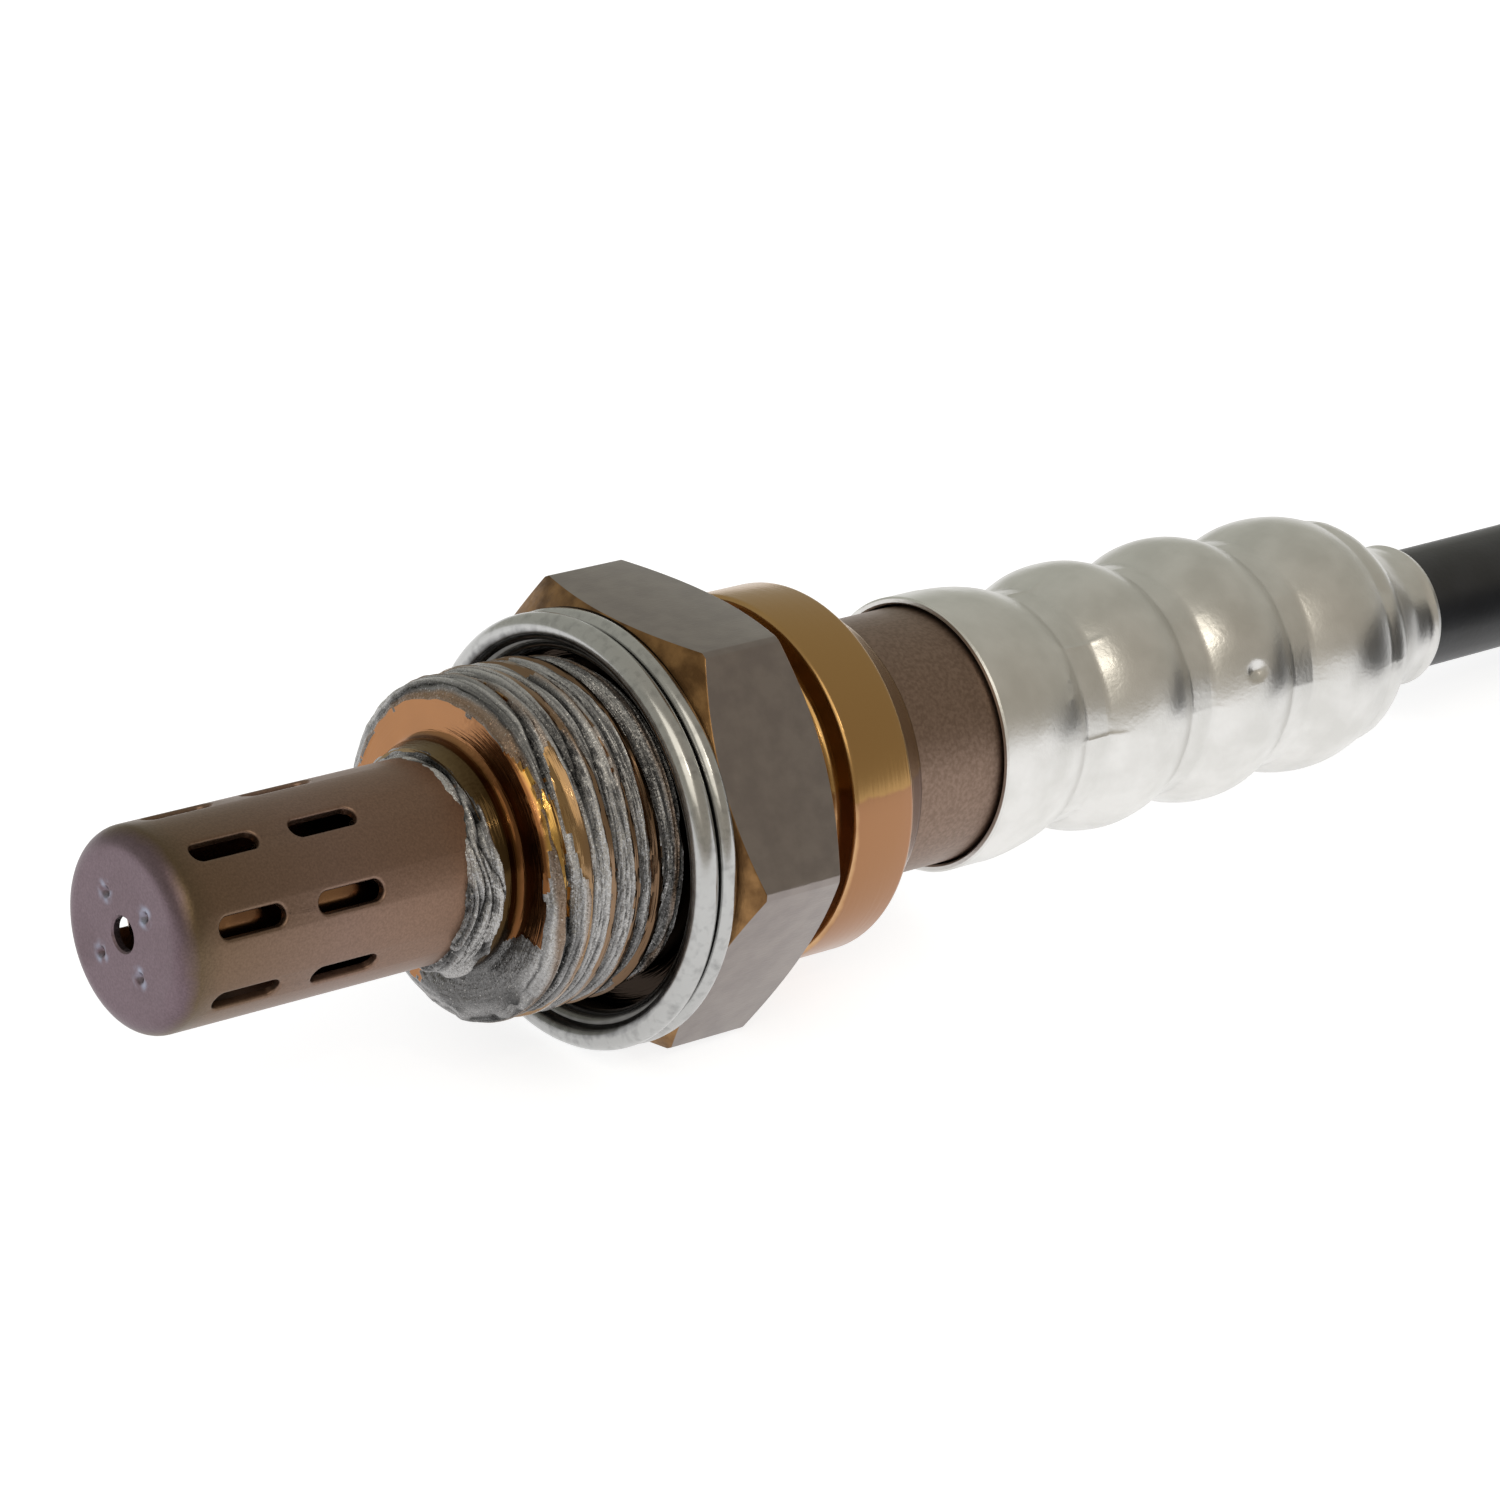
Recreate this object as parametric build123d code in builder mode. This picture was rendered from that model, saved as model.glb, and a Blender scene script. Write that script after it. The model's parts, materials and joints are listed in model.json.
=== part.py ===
from build123d import *
import os
from math import atan2, cos, degrees, pi, radians, sin, tan

# Heated oxygen sensor for an exhaust pipe, with an M18 x 1.5 thread and a 22 mm hexagon. It lies on a
# bench on its gasket and its crimped sheath, with the lead folded once behind it, tied, and plugged.
#
# Millimetres, +Z up. The origin is the centre of the hexagon's sealing face. The sensor's axis runs
# from the protection tube (-X) to the lead (+X), and dips by the angle at which the sensor rests.
# A station is a distance along that axis, counted from the sealing face.

# ---------------------------------------------------------------- driving sizes
fit = 0.05                      # gap all round between pieces that are pushed or crimped together

# housing: threaded body with hexagon and collar
thread_diameter = 18.0
thread_front = 9.5              # sealing face to the thread's end face
thread_tip_diameter = 15.6
thread_lead_in = 2.0
neck_diameter = 16.2
neck_length = 3.2
spigot_diameter = 12.0
spigot_length = 1.6
spigot_rim_diameter = 11.3      # rim rolled in on the protection tube
spigot_rim_length = 0.85
spigot_root_round = 0.4
hex_across_flats = 22.0
hex_across_corners = 25.2
hex_face_diameter = 21.8
hex_length = 6.9
hex_chamfer_angle = 30
groove_diameter = 17.0
groove_length = 2.4
collar_diameter = 19.9
collar_edge_round = 0.5
lip_length = 2.1                # sloping rim that is rolled over the shell's flange
lip_diameter = 16.1
lip_thickness = 1.1

# what the housing holds
element_seat = 1.4              # station of the shoulder that carries the element
element_bore_diameter = 8.8
packing_bore_diameter = 12.0
rim_bore_diameter = 16.4
washer_thickness = 0.6
washer_bore_diameter = 9.0
talc_length = 3.5
bush_length = 3.7
ring_thickness = 0.7
ring_bore_diameter = 9.2

# sensing element: closed zirconia thimble
element_tip_diameter = 5.8
element_root_diameter = 6.6
element_reach = 26.6            # sealing shoulder to the thimble's tip
element_collar_length = 3.8
element_barrel_diameter = 7.8
element_barrel_length = 10.7
element_bore = 3.9
element_tip_wall = 1.4

# heater rod
heater_diameter = 2.7
heater_tip_gap = 0.3
heater_tail = 4.9               # how far it stands out of the thimble

# protection tubes
tube_insert = 3.5               # how deep they sit in the housing
outer_tube_diameter = 10.52
outer_tube_wall = 0.45
outer_tube_reach = 18.34        # spigot to nose
nose_round = 1.2
nose_hole_diameter = 1.76
dimple_count = 4
dimple_diameter = 0.7
dimple_depth = 0.2
dimple_circle = 4.6
dimple_phase = 47
slot_count = 8
slot_rows = 2
slot_length = 3.95
slot_width = 1.15
slot_first_row = 4.1            # nose to the middle of the first row
slot_row_pitch = 5.93
slot_phase = 26
inner_tube_diameter = 7.8
inner_tube_wall = 0.35
inner_tube_nose_gap = 2.5
inner_tube_hole_diameter = 1.4
inner_tube_hole_count = 4
inner_tube_flange = 0.4
inner_tube_nose_round = 0.9

# sealing gasket: a strip folded three times into a ring
gasket_strip = 0.6
gasket_fold_gap = 0.3
gasket_outer_diameter = 22.98
gasket_width = 1.89             # from its bore to its edge
gasket_flat = 0.15              # flat of the front layer, before its edge curls back
gasket_curl_radius = 0.75
gasket_curl_angle = 45
gasket_hang = 0.33              # share of its play round the neck that the loose ring hangs off the axis
gasket_hang_angle = 240.33      # which way it hangs, from +Y

# rear shell and crimped sheath
shell_diameter = 14.04
shell_wall = 0.45
shell_flange = 0.8
shell_past_crimp = 2.1
mouth_gap = 6.7                 # lip to the sheath's mouth
sheath_wall = 0.4
sheath_mouth_diameter = 15.14
sheath_plain_length = 2.3
first_crest = 11.6              # mouth to the first bulge
crest_pitch = 8.0
crest_count = 3
crest_diameter = 15.0
last_crest_diameter = 14.6
crimp_diameter = 13.3
crimp_width = 1.7
shoulder_diameter = 12.7        # rear end, pressed down from the last crimp to the lead
shoulder_run = 1.4
cone_diameter = 10.4
cone_run = 1.5
neck_run = 1.5
neck_flare = 0.45
sheath_tail = 2.5

# terminals in their ceramic holder
holder_rear_past_crimp = 0.4
holder_bore = 9.2
holder_wall_length = 7.4
terminal_circle = 4.8
terminal_hole_diameter = 1.8
strip_width = 1.2
strip_thickness = 0.3
terminal_stub = 0.4
barrel_diameter = 2.3           # barrel crimped on a wire
barrel_length = 3.6
barrel_floor = 0.3
clip_thickness = 0.3
clip_length = 2.0
signal_clip_length = 7.5
finger_length = 3.1
wire_diameter = 1.5

# grommet and lead
grommet_gap = 0.5
grommet_rear_run = 5.0          # last bulge to the grommet's rear face
cord_diameter = 7.0

# tie round the folded lead
tie_station = 152.0
tie_width = 2.5
tie_thickness = 0.5
tie_gap = 0.1
tie_head_size = 4.6
tie_tail_length = 6.5

# plug
plug_length = 32.0
plug_width = 22.0
plug_height = 12.0
plug_edge_round = 1.6
plug_wall = 2.0
socket_depth = 13.0
seal_depth = 6.0
boot_length = 8.0
boot_end_diameter = 8.8
boot_root_diameter = 10.4
pin_count = 4
pin_pitch = 4.0
pin_width = 1.5
pin_thickness = 0.64
pin_length = 7.0                # how far a pin stands in the socket
lock_thickness = 1.5
latch_length = 9.0
latch_width = 6.0
latch_height = 2.0

# ---------------------------------------------------------------- stations that follow from them
spigot_front = -(thread_front + spigot_length)
tube_seat = spigot_front + tube_insert
nose = spigot_front - outer_tube_reach
washer_rear = element_seat + washer_thickness
element_collar_rear = washer_rear + element_collar_length
talc_rear = element_collar_rear + talc_length
rim_seat = talc_rear + bush_length
ring_rear = rim_seat + ring_thickness
flange_rear = ring_rear + shell_flange
lip_rear = flange_rear + lip_thickness
collar_front = hex_length + groove_length
collar_rear = lip_rear - lip_length
element_rear = element_collar_rear + element_barrel_length
element_tip = washer_rear - element_reach
mouth = lip_rear + mouth_gap
crests = [mouth + first_crest + crest_pitch * i for i in range(crest_count)]
first_waist = crests[0] - crest_pitch / 2
shell_rear = first_waist + shell_past_crimp
holder_rear = first_waist + holder_rear_past_crimp
barrel_front = holder_rear + terminal_stub
grommet_front = barrel_front + barrel_length + grommet_gap
grommet_rear = crests[-1] + grommet_rear_run
bulge_half = (crest_pitch - crimp_width) / 2
sheath_rear = crests[-1] + bulge_half + shoulder_run + cone_run + neck_run + sheath_tail
cord_radius = cord_diameter / 2
neck_radius = cord_radius + fit + sheath_wall
crimped_radius = crimp_diameter / 2 - sheath_wall - fit - shell_wall - fit
gasket_bore = gasket_outer_diameter / 2 - gasket_width
gasket_hang_off = gasket_hang * (gasket_bore - neck_diameter / 2)
gasket_hang_y = gasket_hang_off * cos(radians(gasket_hang_angle))
gasket_hang_z = gasket_hang_off * sin(radians(gasket_hang_angle))

# ---------------------------------------------------------------- how the sensor lies
# The gasket's lowest point and the last bulge both touch the bench, so the axis dips to the rear.
gasket_low_station = -(gasket_strip + gasket_fold_gap / 2)
gasket_low = gasket_outer_diameter / 2 - gasket_hang_z
rest_tilt = atan2(gasket_low - last_crest_diameter / 2, crests[-1] - gasket_low_station)
axis_direction = (cos(rest_tilt), 0, -sin(rest_tilt))
bench = -gasket_low_station * sin(rest_tilt) - gasket_low * cos(rest_tilt)

sensor_axis = Axis((0, 0, 0), axis_direction)
section = Plane(origin=(0, 0, 0), x_dir=axis_direction, z_dir=(0, -1, 0))


def on_axis(station):
    """Point on the sensor's axis."""
    return (station * cos(rest_tilt), 0, -station * sin(rest_tilt))


def across(station):
    """Plane square to the axis: its x is +Y, its y points up, its z to the lead."""
    return Plane(origin=on_axis(station), x_dir=(0, 1, 0), z_dir=axis_direction)


def turned(angle):
    """Half section plane turned about the axis: x along the axis, y outwards at that angle."""
    plane = across(0)
    outwards = plane.x_dir * cos(radians(angle)) + plane.y_dir * sin(radians(angle))
    return Plane(origin=(0, 0, 0), x_dir=plane.z_dir, z_dir=plane.z_dir.cross(outwards))


def ring(front, rear, inner_radius, outer_radius):
    """Section of a plain ring."""
    with BuildSketch(section) as profile:
        with BuildLine():
            Polyline((front, inner_radius), (rear, inner_radius), (rear, outer_radius),
                     (front, outer_radius), close=True)
        make_face()
    return profile.sketch


# ---------------------------------------------------------------- housing
spigot_radius = spigot_diameter / 2
thread_radius = thread_diameter / 2
neck_radius_front = neck_diameter / 2
collar_radius = collar_diameter / 2
hex_chamfer = (hex_across_corners - hex_face_diameter) / 2 * tan(radians(hex_chamfer_angle))

with BuildPart() as housing:
    with BuildSketch(across(0)):
        RegularPolygon(radius=hex_across_flats / 2, side_count=6, major_radius=False)
    extrude(amount=hex_length)
    with BuildSketch(section):
        with BuildLine():
            Polyline((0, 0), (0, hex_face_diameter / 2), (hex_chamfer, hex_across_corners / 2),
                     (hex_length - hex_chamfer, hex_across_corners / 2),
                     (hex_length, hex_face_diameter / 2), (hex_length, 0), close=True)
        make_face()
    revolve(axis=sensor_axis, mode=Mode.INTERSECT)
    # spigot, threaded barrel and undercut in front of the hexagon
    with BuildSketch(section):
        with BuildLine():
            Polyline((spigot_front, 0), (spigot_front, spigot_rim_diameter / 2),
                     (spigot_front + spigot_rim_length, spigot_radius),
                     (-thread_front - spigot_root_round, spigot_radius),
                     (-thread_front, spigot_radius + spigot_root_round),
                     (-thread_front, thread_tip_diameter / 2),
                     (-thread_front + thread_lead_in, thread_radius),
                     (-neck_length, thread_radius), (-neck_length + 0.7, neck_radius_front),
                     (0.5, neck_radius_front), (0.5, 0), close=True)
        make_face()
    revolve(axis=sensor_axis)
    # groove, collar and rolled rim behind it
    with BuildSketch(section):
        with BuildLine():
            Polyline((hex_length - 0.5, 0), (hex_length - 0.5, groove_diameter / 2),
                     (collar_front, groove_diameter / 2),
                     (collar_front, collar_radius - collar_edge_round),
                     (collar_front + collar_edge_round, collar_radius),
                     (collar_rear - collar_edge_round, collar_radius),
                     (collar_rear, collar_radius - collar_edge_round),
                     (lip_rear, lip_diameter / 2), (lip_rear, 0), close=True)
        make_face()
    revolve(axis=sensor_axis)
    # stepped bore
    with BuildSketch(section):
        with BuildLine():
            Polyline((spigot_front, 0), (spigot_front, outer_tube_diameter / 2 + fit),
                     (tube_seat, outer_tube_diameter / 2 + fit), (tube_seat, element_bore_diameter / 2),
                     (element_seat, element_bore_diameter / 2), (element_seat, packing_bore_diameter / 2),
                     (rim_seat, packing_bore_diameter / 2), (rim_seat, rim_bore_diameter / 2),
                     (flange_rear, rim_bore_diameter / 2), (flange_rear, shell_diameter / 2 + fit),
                     (lip_rear, shell_diameter / 2 + fit), (lip_rear, 0), close=True)
        make_face()
    revolve(axis=sensor_axis, mode=Mode.SUBTRACT)

# ---------------------------------------------------------------- sealing gasket
# One strip of steel, folded to an S in section: rear, middle and front layer, rolled into a ring.
fold_pitch = gasket_strip + gasket_fold_gap
fold_radius = fold_pitch / 2
gasket_section = Plane(origin=(gasket_hang_z * sin(rest_tilt), gasket_hang_y,
                               gasket_hang_z * cos(rest_tilt)),
                       x_dir=axis_direction, z_dir=(0, -1, 0))
layer_rear = -gasket_strip / 2
outer_bend = gasket_outer_diameter / 2 - gasket_strip / 2 - fold_radius
inner_bend = gasket_bore + gasket_strip / 2 + fold_radius

with BuildPart() as sealing_gasket:
    with BuildSketch(gasket_section):
        with BuildLine():
            rear_layer = Line((layer_rear, inner_bend), (layer_rear, outer_bend))
            outer_fold = JernArc(start=rear_layer @ 1, tangent=(0, 1), radius=fold_radius, arc_size=180)
            middle_layer = Line(outer_fold @ 1, (layer_rear - fold_pitch, inner_bend))
            inner_fold = JernArc(start=middle_layer @ 1, tangent=(0, -1), radius=fold_radius,
                                 arc_size=-180)
            front_layer = Line(inner_fold @ 1, (layer_rear - 2 * fold_pitch, inner_bend + gasket_flat))
            JernArc(start=front_layer @ 1, tangent=(0, 1), radius=gasket_curl_radius,
                    arc_size=-gasket_curl_angle)
        trace(line_width=gasket_strip)
    revolve(axis=Axis(gasket_section.origin, axis_direction))

# ---------------------------------------------------------------- protection tubes
outer_tube_radius = outer_tube_diameter / 2
outer_tube_rear = tube_seat - inner_tube_flange

with BuildPart() as outer_protection_tube:
    with BuildSketch(section):
        with BuildLine():
            outside = FilletPolyline((nose, 0), (nose, outer_tube_radius),
                                     (outer_tube_rear, outer_tube_radius), radius=nose_round)
            inside = FilletPolyline((outer_tube_rear, outer_tube_radius - outer_tube_wall),
                                    (nose + outer_tube_wall, outer_tube_radius - outer_tube_wall),
                                    (nose + outer_tube_wall, 0), radius=nose_round - outer_tube_wall)
            Line(outside @ 1, inside @ 0)
            Line(inside @ 1, outside @ 0)
        make_face()
    revolve(axis=sensor_axis)
    # gas slots, pierced in rows round the wall
    for i in range(slot_count):
        slot_angle = slot_phase + 360 * i / slot_count
        for row in range(slot_rows):
            slot_middle = nose + slot_first_row + slot_row_pitch * row
            face = turned(slot_angle)
            pierce = Plane(origin=face.from_local_coords((slot_middle, outer_tube_radius - outer_tube_wall / 2, 0)),
                           x_dir=face.x_dir, z_dir=face.y_dir)
            with BuildSketch(pierce):
                SlotOverall(slot_length, slot_width)
            extrude(amount=outer_tube_wall, both=True, mode=Mode.SUBTRACT)
    # gas hole and punch marks in the nose
    with BuildSketch(across(nose)):
        Circle(nose_hole_diameter / 2)
    extrude(amount=outer_tube_wall, mode=Mode.SUBTRACT)
    with BuildSketch(across(nose)):
        with PolarLocations(dimple_circle / 2, dimple_count, start_angle=dimple_phase):
            Circle(dimple_diameter / 2)
    extrude(amount=dimple_depth, taper=35, mode=Mode.SUBTRACT)

inner_tube_radius = inner_tube_diameter / 2
inner_nose = nose + inner_tube_nose_gap

with BuildPart() as inner_protection_tube:
    with BuildSketch(section):
        with BuildLine():
            outside = FilletPolyline((inner_nose, 0), (inner_nose, inner_tube_radius),
                                     (outer_tube_rear, inner_tube_radius), radius=inner_tube_nose_round)
            inside = FilletPolyline((tube_seat, inner_tube_radius - inner_tube_wall),
                                    (inner_nose + inner_tube_wall, inner_tube_radius - inner_tube_wall),
                                    (inner_nose + inner_tube_wall, 0),
                                    radius=inner_tube_nose_round - inner_tube_wall)
            Polyline(outside @ 1, (outer_tube_rear, outer_tube_radius),
                     (tube_seat, outer_tube_radius), inside @ 0)
            Line(inside @ 1, outside @ 0)
        make_face()
    revolve(axis=sensor_axis)
    for i in range(inner_tube_hole_count):
        hole_angle = slot_phase + 360 * i / inner_tube_hole_count
        for row in range(slot_rows):
            hole_station = nose + slot_first_row + slot_row_pitch * (row + 0.5)
            face = turned(hole_angle)
            pierce = Plane(origin=face.from_local_coords((hole_station, inner_tube_radius - inner_tube_wall / 2, 0)),
                           x_dir=face.x_dir, z_dir=face.y_dir)
            with BuildSketch(pierce):
                Circle(inner_tube_hole_diameter / 2)
            extrude(amount=inner_tube_wall, both=True, mode=Mode.SUBTRACT)

# ---------------------------------------------------------------- sensing element and heater
element_tip_radius = element_tip_diameter / 2
element_bore_radius = element_bore / 2
element_barrel_radius = element_barrel_diameter / 2
packing_radius = packing_bore_diameter / 2 - fit

with BuildPart() as sensing_element:
    with BuildSketch(section):
        with BuildLine():
            tip = RadiusArc((element_tip, 0), (element_tip + element_tip_radius, element_tip_radius),
                            element_tip_radius)
            Polyline(tip @ 1, (washer_rear, element_root_diameter / 2), (washer_rear, packing_radius),
                     (element_collar_rear, packing_radius), (element_collar_rear, element_barrel_radius),
                     (element_rear, element_barrel_radius), (element_rear, 0), tip @ 0)
        make_face()
    revolve(axis=sensor_axis)
    bore_end = element_tip + element_tip_wall
    with BuildSketch(section):
        with BuildLine():
            end = RadiusArc((bore_end, 0), (bore_end + element_bore_radius, element_bore_radius),
                            element_bore_radius)
            Polyline(end @ 1, (element_rear, element_bore_radius), (element_rear, 0), end @ 0)
        make_face()
    revolve(axis=sensor_axis, mode=Mode.SUBTRACT)

heater_front = element_tip + element_tip_wall + heater_tip_gap
heater_rear = element_rear + heater_tail
heater_radius = heater_diameter / 2

with BuildPart() as heater_rod:
    with BuildSketch(across(heater_front)):
        Circle(heater_radius)
    extrude(amount=heater_rear - heater_front)
    chamfer(heater_rod.edges(), length=heater_radius / 4)

with BuildPart() as element_washer:
    revolve(ring(element_seat, washer_rear, washer_bore_diameter / 2, packing_radius), axis=sensor_axis)

with BuildPart() as talc_packing:
    revolve(ring(element_collar_rear, talc_rear, element_barrel_radius + fit, packing_radius),
            axis=sensor_axis)

with BuildPart() as ceramic_bush:
    revolve(ring(talc_rear, rim_seat, element_barrel_radius + fit, packing_radius), axis=sensor_axis)

with BuildPart() as compression_ring:
    revolve(ring(rim_seat, ring_rear, ring_bore_diameter / 2, rim_bore_diameter / 2 - fit),
            axis=sensor_axis)


# ---------------------------------------------------------------- crimped sheath and shell
def under_sheath(inset, front=mouth, rear=sheath_rear):
    """Section between the axis and the sheath's outer line, lowered by inset, within two stations."""
    crimped = crimp_diameter / 2 - inset
    with BuildSketch(section) as profile:
        with BuildLine():
            plain = Line((mouth, sheath_mouth_diameter / 2 - inset),
                         (mouth + sheath_plain_length, sheath_mouth_diameter / 2 - inset))
            TangentArc(plain @ 1, (crests[0] - bulge_half - crimp_width, crimped), tangent=(1, 0))
            for crest in crests:
                crest_size = last_crest_diameter if crest == crests[-1] else crest_diameter
                Line((crest - bulge_half - crimp_width, crimped), (crest - bulge_half, crimped))
                bulge = ThreePointArc((crest - bulge_half, crimped), (crest, crest_size / 2 - inset),
                                      (crest + bulge_half, crimped))
            shoulder = bulge @ 1 + Vector(shoulder_run, (shoulder_diameter - crimp_diameter) / 2)
            cone = shoulder + Vector(cone_run, (cone_diameter - shoulder_diameter) / 2)
            neck = Vector(cone.X + neck_run, neck_radius + neck_flare - inset)
            tail = Spline(bulge @ 1, shoulder, cone, neck, (sheath_rear, neck_radius - inset),
                          tangents=[(1, 0), (1, 0)])
            Polyline(tail @ 1, (sheath_rear, 0), (mouth, 0), plain @ 0)
        make_face()
        with BuildLine():
            Polyline((front, 0), (rear, 0), (rear, sheath_mouth_diameter), (front, sheath_mouth_diameter),
                     close=True)
        make_face(mode=Mode.INTERSECT)
    return profile.sketch


with BuildPart() as outer_sheath:
    revolve(under_sheath(0), axis=sensor_axis)
    revolve(under_sheath(sheath_wall), axis=sensor_axis, mode=Mode.SUBTRACT)

shell_radius = shell_diameter / 2


def squeezed_core(radius, inset):
    """Solid as wide as radius that follows the crimped sheath, lowered by inset, past its mouth."""
    with BuildPart() as core:
        revolve(under_sheath(inset, mouth, shell_rear), axis=sensor_axis)
        revolve(ring(mouth, shell_rear, 0, radius), axis=sensor_axis, mode=Mode.INTERSECT)
        revolve(ring(ring_rear, mouth, 0, radius), axis=sensor_axis)
    return core.part


with BuildPart() as inner_shell:
    add(squeezed_core(shell_radius, sheath_wall + fit))
    revolve(ring(ring_rear, flange_rear, shell_radius - shell_wall, rim_bore_diameter / 2 - fit),
            axis=sensor_axis)
    add(squeezed_core(shell_radius - shell_wall, sheath_wall + fit + shell_wall), mode=Mode.SUBTRACT)

# ---------------------------------------------------------------- terminal holder and terminals
holder_front = ring_rear
holder_bore_end = holder_rear - holder_wall_length
terminal_radius = terminal_circle / 2
terminal_angles = {"signal": 45, "heater_a": 135, "ground": 225, "heater_b": 315}

with BuildPart() as terminal_holder:
    revolve(ring(holder_front, holder_rear, 0, crimped_radius), axis=sensor_axis)
    revolve(ring(holder_front, holder_bore_end, 0, holder_bore / 2), axis=sensor_axis,
            mode=Mode.SUBTRACT)
    with BuildSketch(across(holder_bore_end)):
        with PolarLocations(terminal_radius, len(terminal_angles), start_angle=45):
            Circle(terminal_hole_diameter / 2)
    extrude(amount=holder_wall_length, mode=Mode.SUBTRACT)


def terminal(angle, route, clip=None):
    """Stamped terminal: a spring clip, a strip along the route, and a crimp barrel on the wire."""
    wire_centre = across(barrel_front).from_local_coords((terminal_radius * cos(radians(angle)),
                                                         terminal_radius * sin(radians(angle)), 0))
    barrel = Plane(origin=wire_centre, x_dir=(0, 1, 0), z_dir=axis_direction)
    with BuildPart() as piece:
        with BuildSketch(turned(angle)):
            with BuildLine():
                Polyline(*route, (barrel_front + barrel_floor / 2, terminal_radius))
            trace(line_width=strip_thickness)
        extrude(amount=strip_width / 2, both=True)
        with BuildSketch(barrel):
            Circle(barrel_diameter / 2)
        extrude(amount=barrel_length)
        with BuildSketch(barrel.offset(barrel_floor)):
            Circle(wire_diameter / 2 + fit)
        extrude(amount=barrel_length, mode=Mode.SUBTRACT)
        if clip:
            revolve(clip, axis=sensor_axis)
    return piece


bend_front = holder_bore_end - 0.8
finger_radius = heater_radius + fit + strip_thickness / 2
finger_rear = heater_rear - 0.8
signal_clip_radius = element_bore_radius - fit
ground_clip_radius = element_barrel_radius + fit

signal_terminal = terminal(
    terminal_angles["signal"],
    [(element_rear, signal_clip_radius - clip_thickness / 2),
     (element_rear + 1.0, signal_clip_radius - clip_thickness / 2), (bend_front, terminal_radius)],
    ring(element_rear - signal_clip_length, element_rear + 0.4, heater_radius + fit, signal_clip_radius))
ground_terminal = terminal(
    terminal_angles["ground"],
    [(element_rear - clip_length / 2, ground_clip_radius + clip_thickness / 2),
     (element_rear + 1.0, ground_clip_radius + clip_thickness / 2), (bend_front, terminal_radius)],
    ring(element_rear - clip_length, element_rear - fit, ground_clip_radius,
         ground_clip_radius + clip_thickness))
heater_terminal_a, heater_terminal_b = [
    terminal(terminal_angles[name],
             [(finger_rear - finger_length, finger_radius), (finger_rear, finger_radius),
              (bend_front, terminal_radius)])
    for name in ("heater_a", "heater_b")]

# ---------------------------------------------------------------- lead wires and grommet
wire_front = barrel_front + barrel_floor


def wire(angle):
    """Insulated wire from its crimp through the grommet."""
    with BuildPart() as piece:
        with BuildSketch(across(wire_front)):
            with PolarLocations(terminal_radius, 1, start_angle=angle):
                Circle(wire_diameter / 2)
        extrude(amount=grommet_rear - wire_front)
    return piece


signal_wire, heater_wire_a, ground_wire, heater_wire_b = [wire(angle) for angle in terminal_angles.values()]

with BuildPart() as grommet:
    revolve(under_sheath(sheath_wall + fit, grommet_front, grommet_rear), axis=sensor_axis)
    with BuildSketch(across(grommet_front)):
        with PolarLocations(terminal_radius, len(terminal_angles), start_angle=45):
            Circle(wire_diameter / 2 + fit)
    extrude(amount=grommet_rear - grommet_front, mode=Mode.SUBTRACT)

# ---------------------------------------------------------------- lead
# The sleeved lead leaves along the axis, meets the bench, and is folded back once through the tie.
lying = bench + cord_radius
in_tie = lying + tie_thickness + tie_gap
plug_middle = bench + plug_height / 2
touch_down = -lying / sin(rest_tilt)
cord_points = [
    on_axis(grommet_rear), on_axis(touch_down),
    (130, -1.2, in_tie), (169, 0.4, in_tie), (196, 22.2, lying), (218.5, 17.4, lying),
    (228.5, -3.2, lying), (219.3, -24.4, lying), (196.6, -30.4, lying), (163, -7.5, in_tie),
    (142, -8.4, in_tie), (128, -21.5, plug_middle), (109.4, -21.5, plug_middle),
]


def corner_radii(points):
    """Largest arc that the two runs at each corner allow."""
    radii = []
    for before, at, after in zip(points, points[1:], points[2:]):
        run_in = Vector(*at) - Vector(*before)
        run_out = Vector(*after) - Vector(*at)
        half_turn = radians(run_in.get_angle(run_out)) / 2
        radii.append(0.45 * min(run_in.length, run_out.length) / tan(half_turn))
    return radii


cord_radii = corner_radii(cord_points)
with BuildPart() as lead_sleeve:
    with BuildLine() as cord_route:
        FilletPolyline(*cord_points, radius=cord_radii)
    with BuildSketch(Plane(origin=cord_route.line @ 0, z_dir=cord_route.line % 0)):
        Circle(cord_radius)
    sweep(path=cord_route.line)
cord_length = sum(edge.length for edge in cord_route.line.edges())
print("lead radii", [round(radius, 1) for radius in cord_radii])
print("lead length", round(cord_length, 1), "volume share",
      round(lead_sleeve.part.volume / (pi * cord_radius ** 2 * cord_length), 4))

# ---------------------------------------------------------------- tie
tie_run_out = (tie_station - cord_points[2][0]) / (cord_points[3][0] - cord_points[2][0])
tie_run_back = (tie_station - cord_points[10][0]) / (cord_points[9][0] - cord_points[10][0])
out_y = cord_points[2][1] + tie_run_out * (cord_points[3][1] - cord_points[2][1])
back_y = cord_points[10][1] + tie_run_back * (cord_points[9][1] - cord_points[10][1])
tie_plane = Plane(origin=(tie_station, (out_y + back_y) / 2, in_tie), x_dir=(0, 1, 0), z_dir=(1, 0, 0))

with BuildPart() as lead_tie:
    with BuildSketch(tie_plane):
        SlotCenterToCenter(out_y - back_y, cord_diameter + 2 * (tie_gap + tie_thickness))
        SlotCenterToCenter(out_y - back_y, cord_diameter + 2 * tie_gap, mode=Mode.SUBTRACT)
    extrude(amount=tie_width / 2, both=True)
    # ratchet head on top, with the tail of the strap passing through it
    head_base = cord_radius + tie_gap + tie_thickness / 2
    with Locations(tie_plane.from_local_coords((0, head_base + tie_head_size / 2, 0))):
        Box(tie_head_size, tie_head_size, tie_head_size)
        Box(tie_width, tie_thickness * 2, tie_tail_length, align=(Align.CENTER, Align.MIN, Align.MIN))

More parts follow.
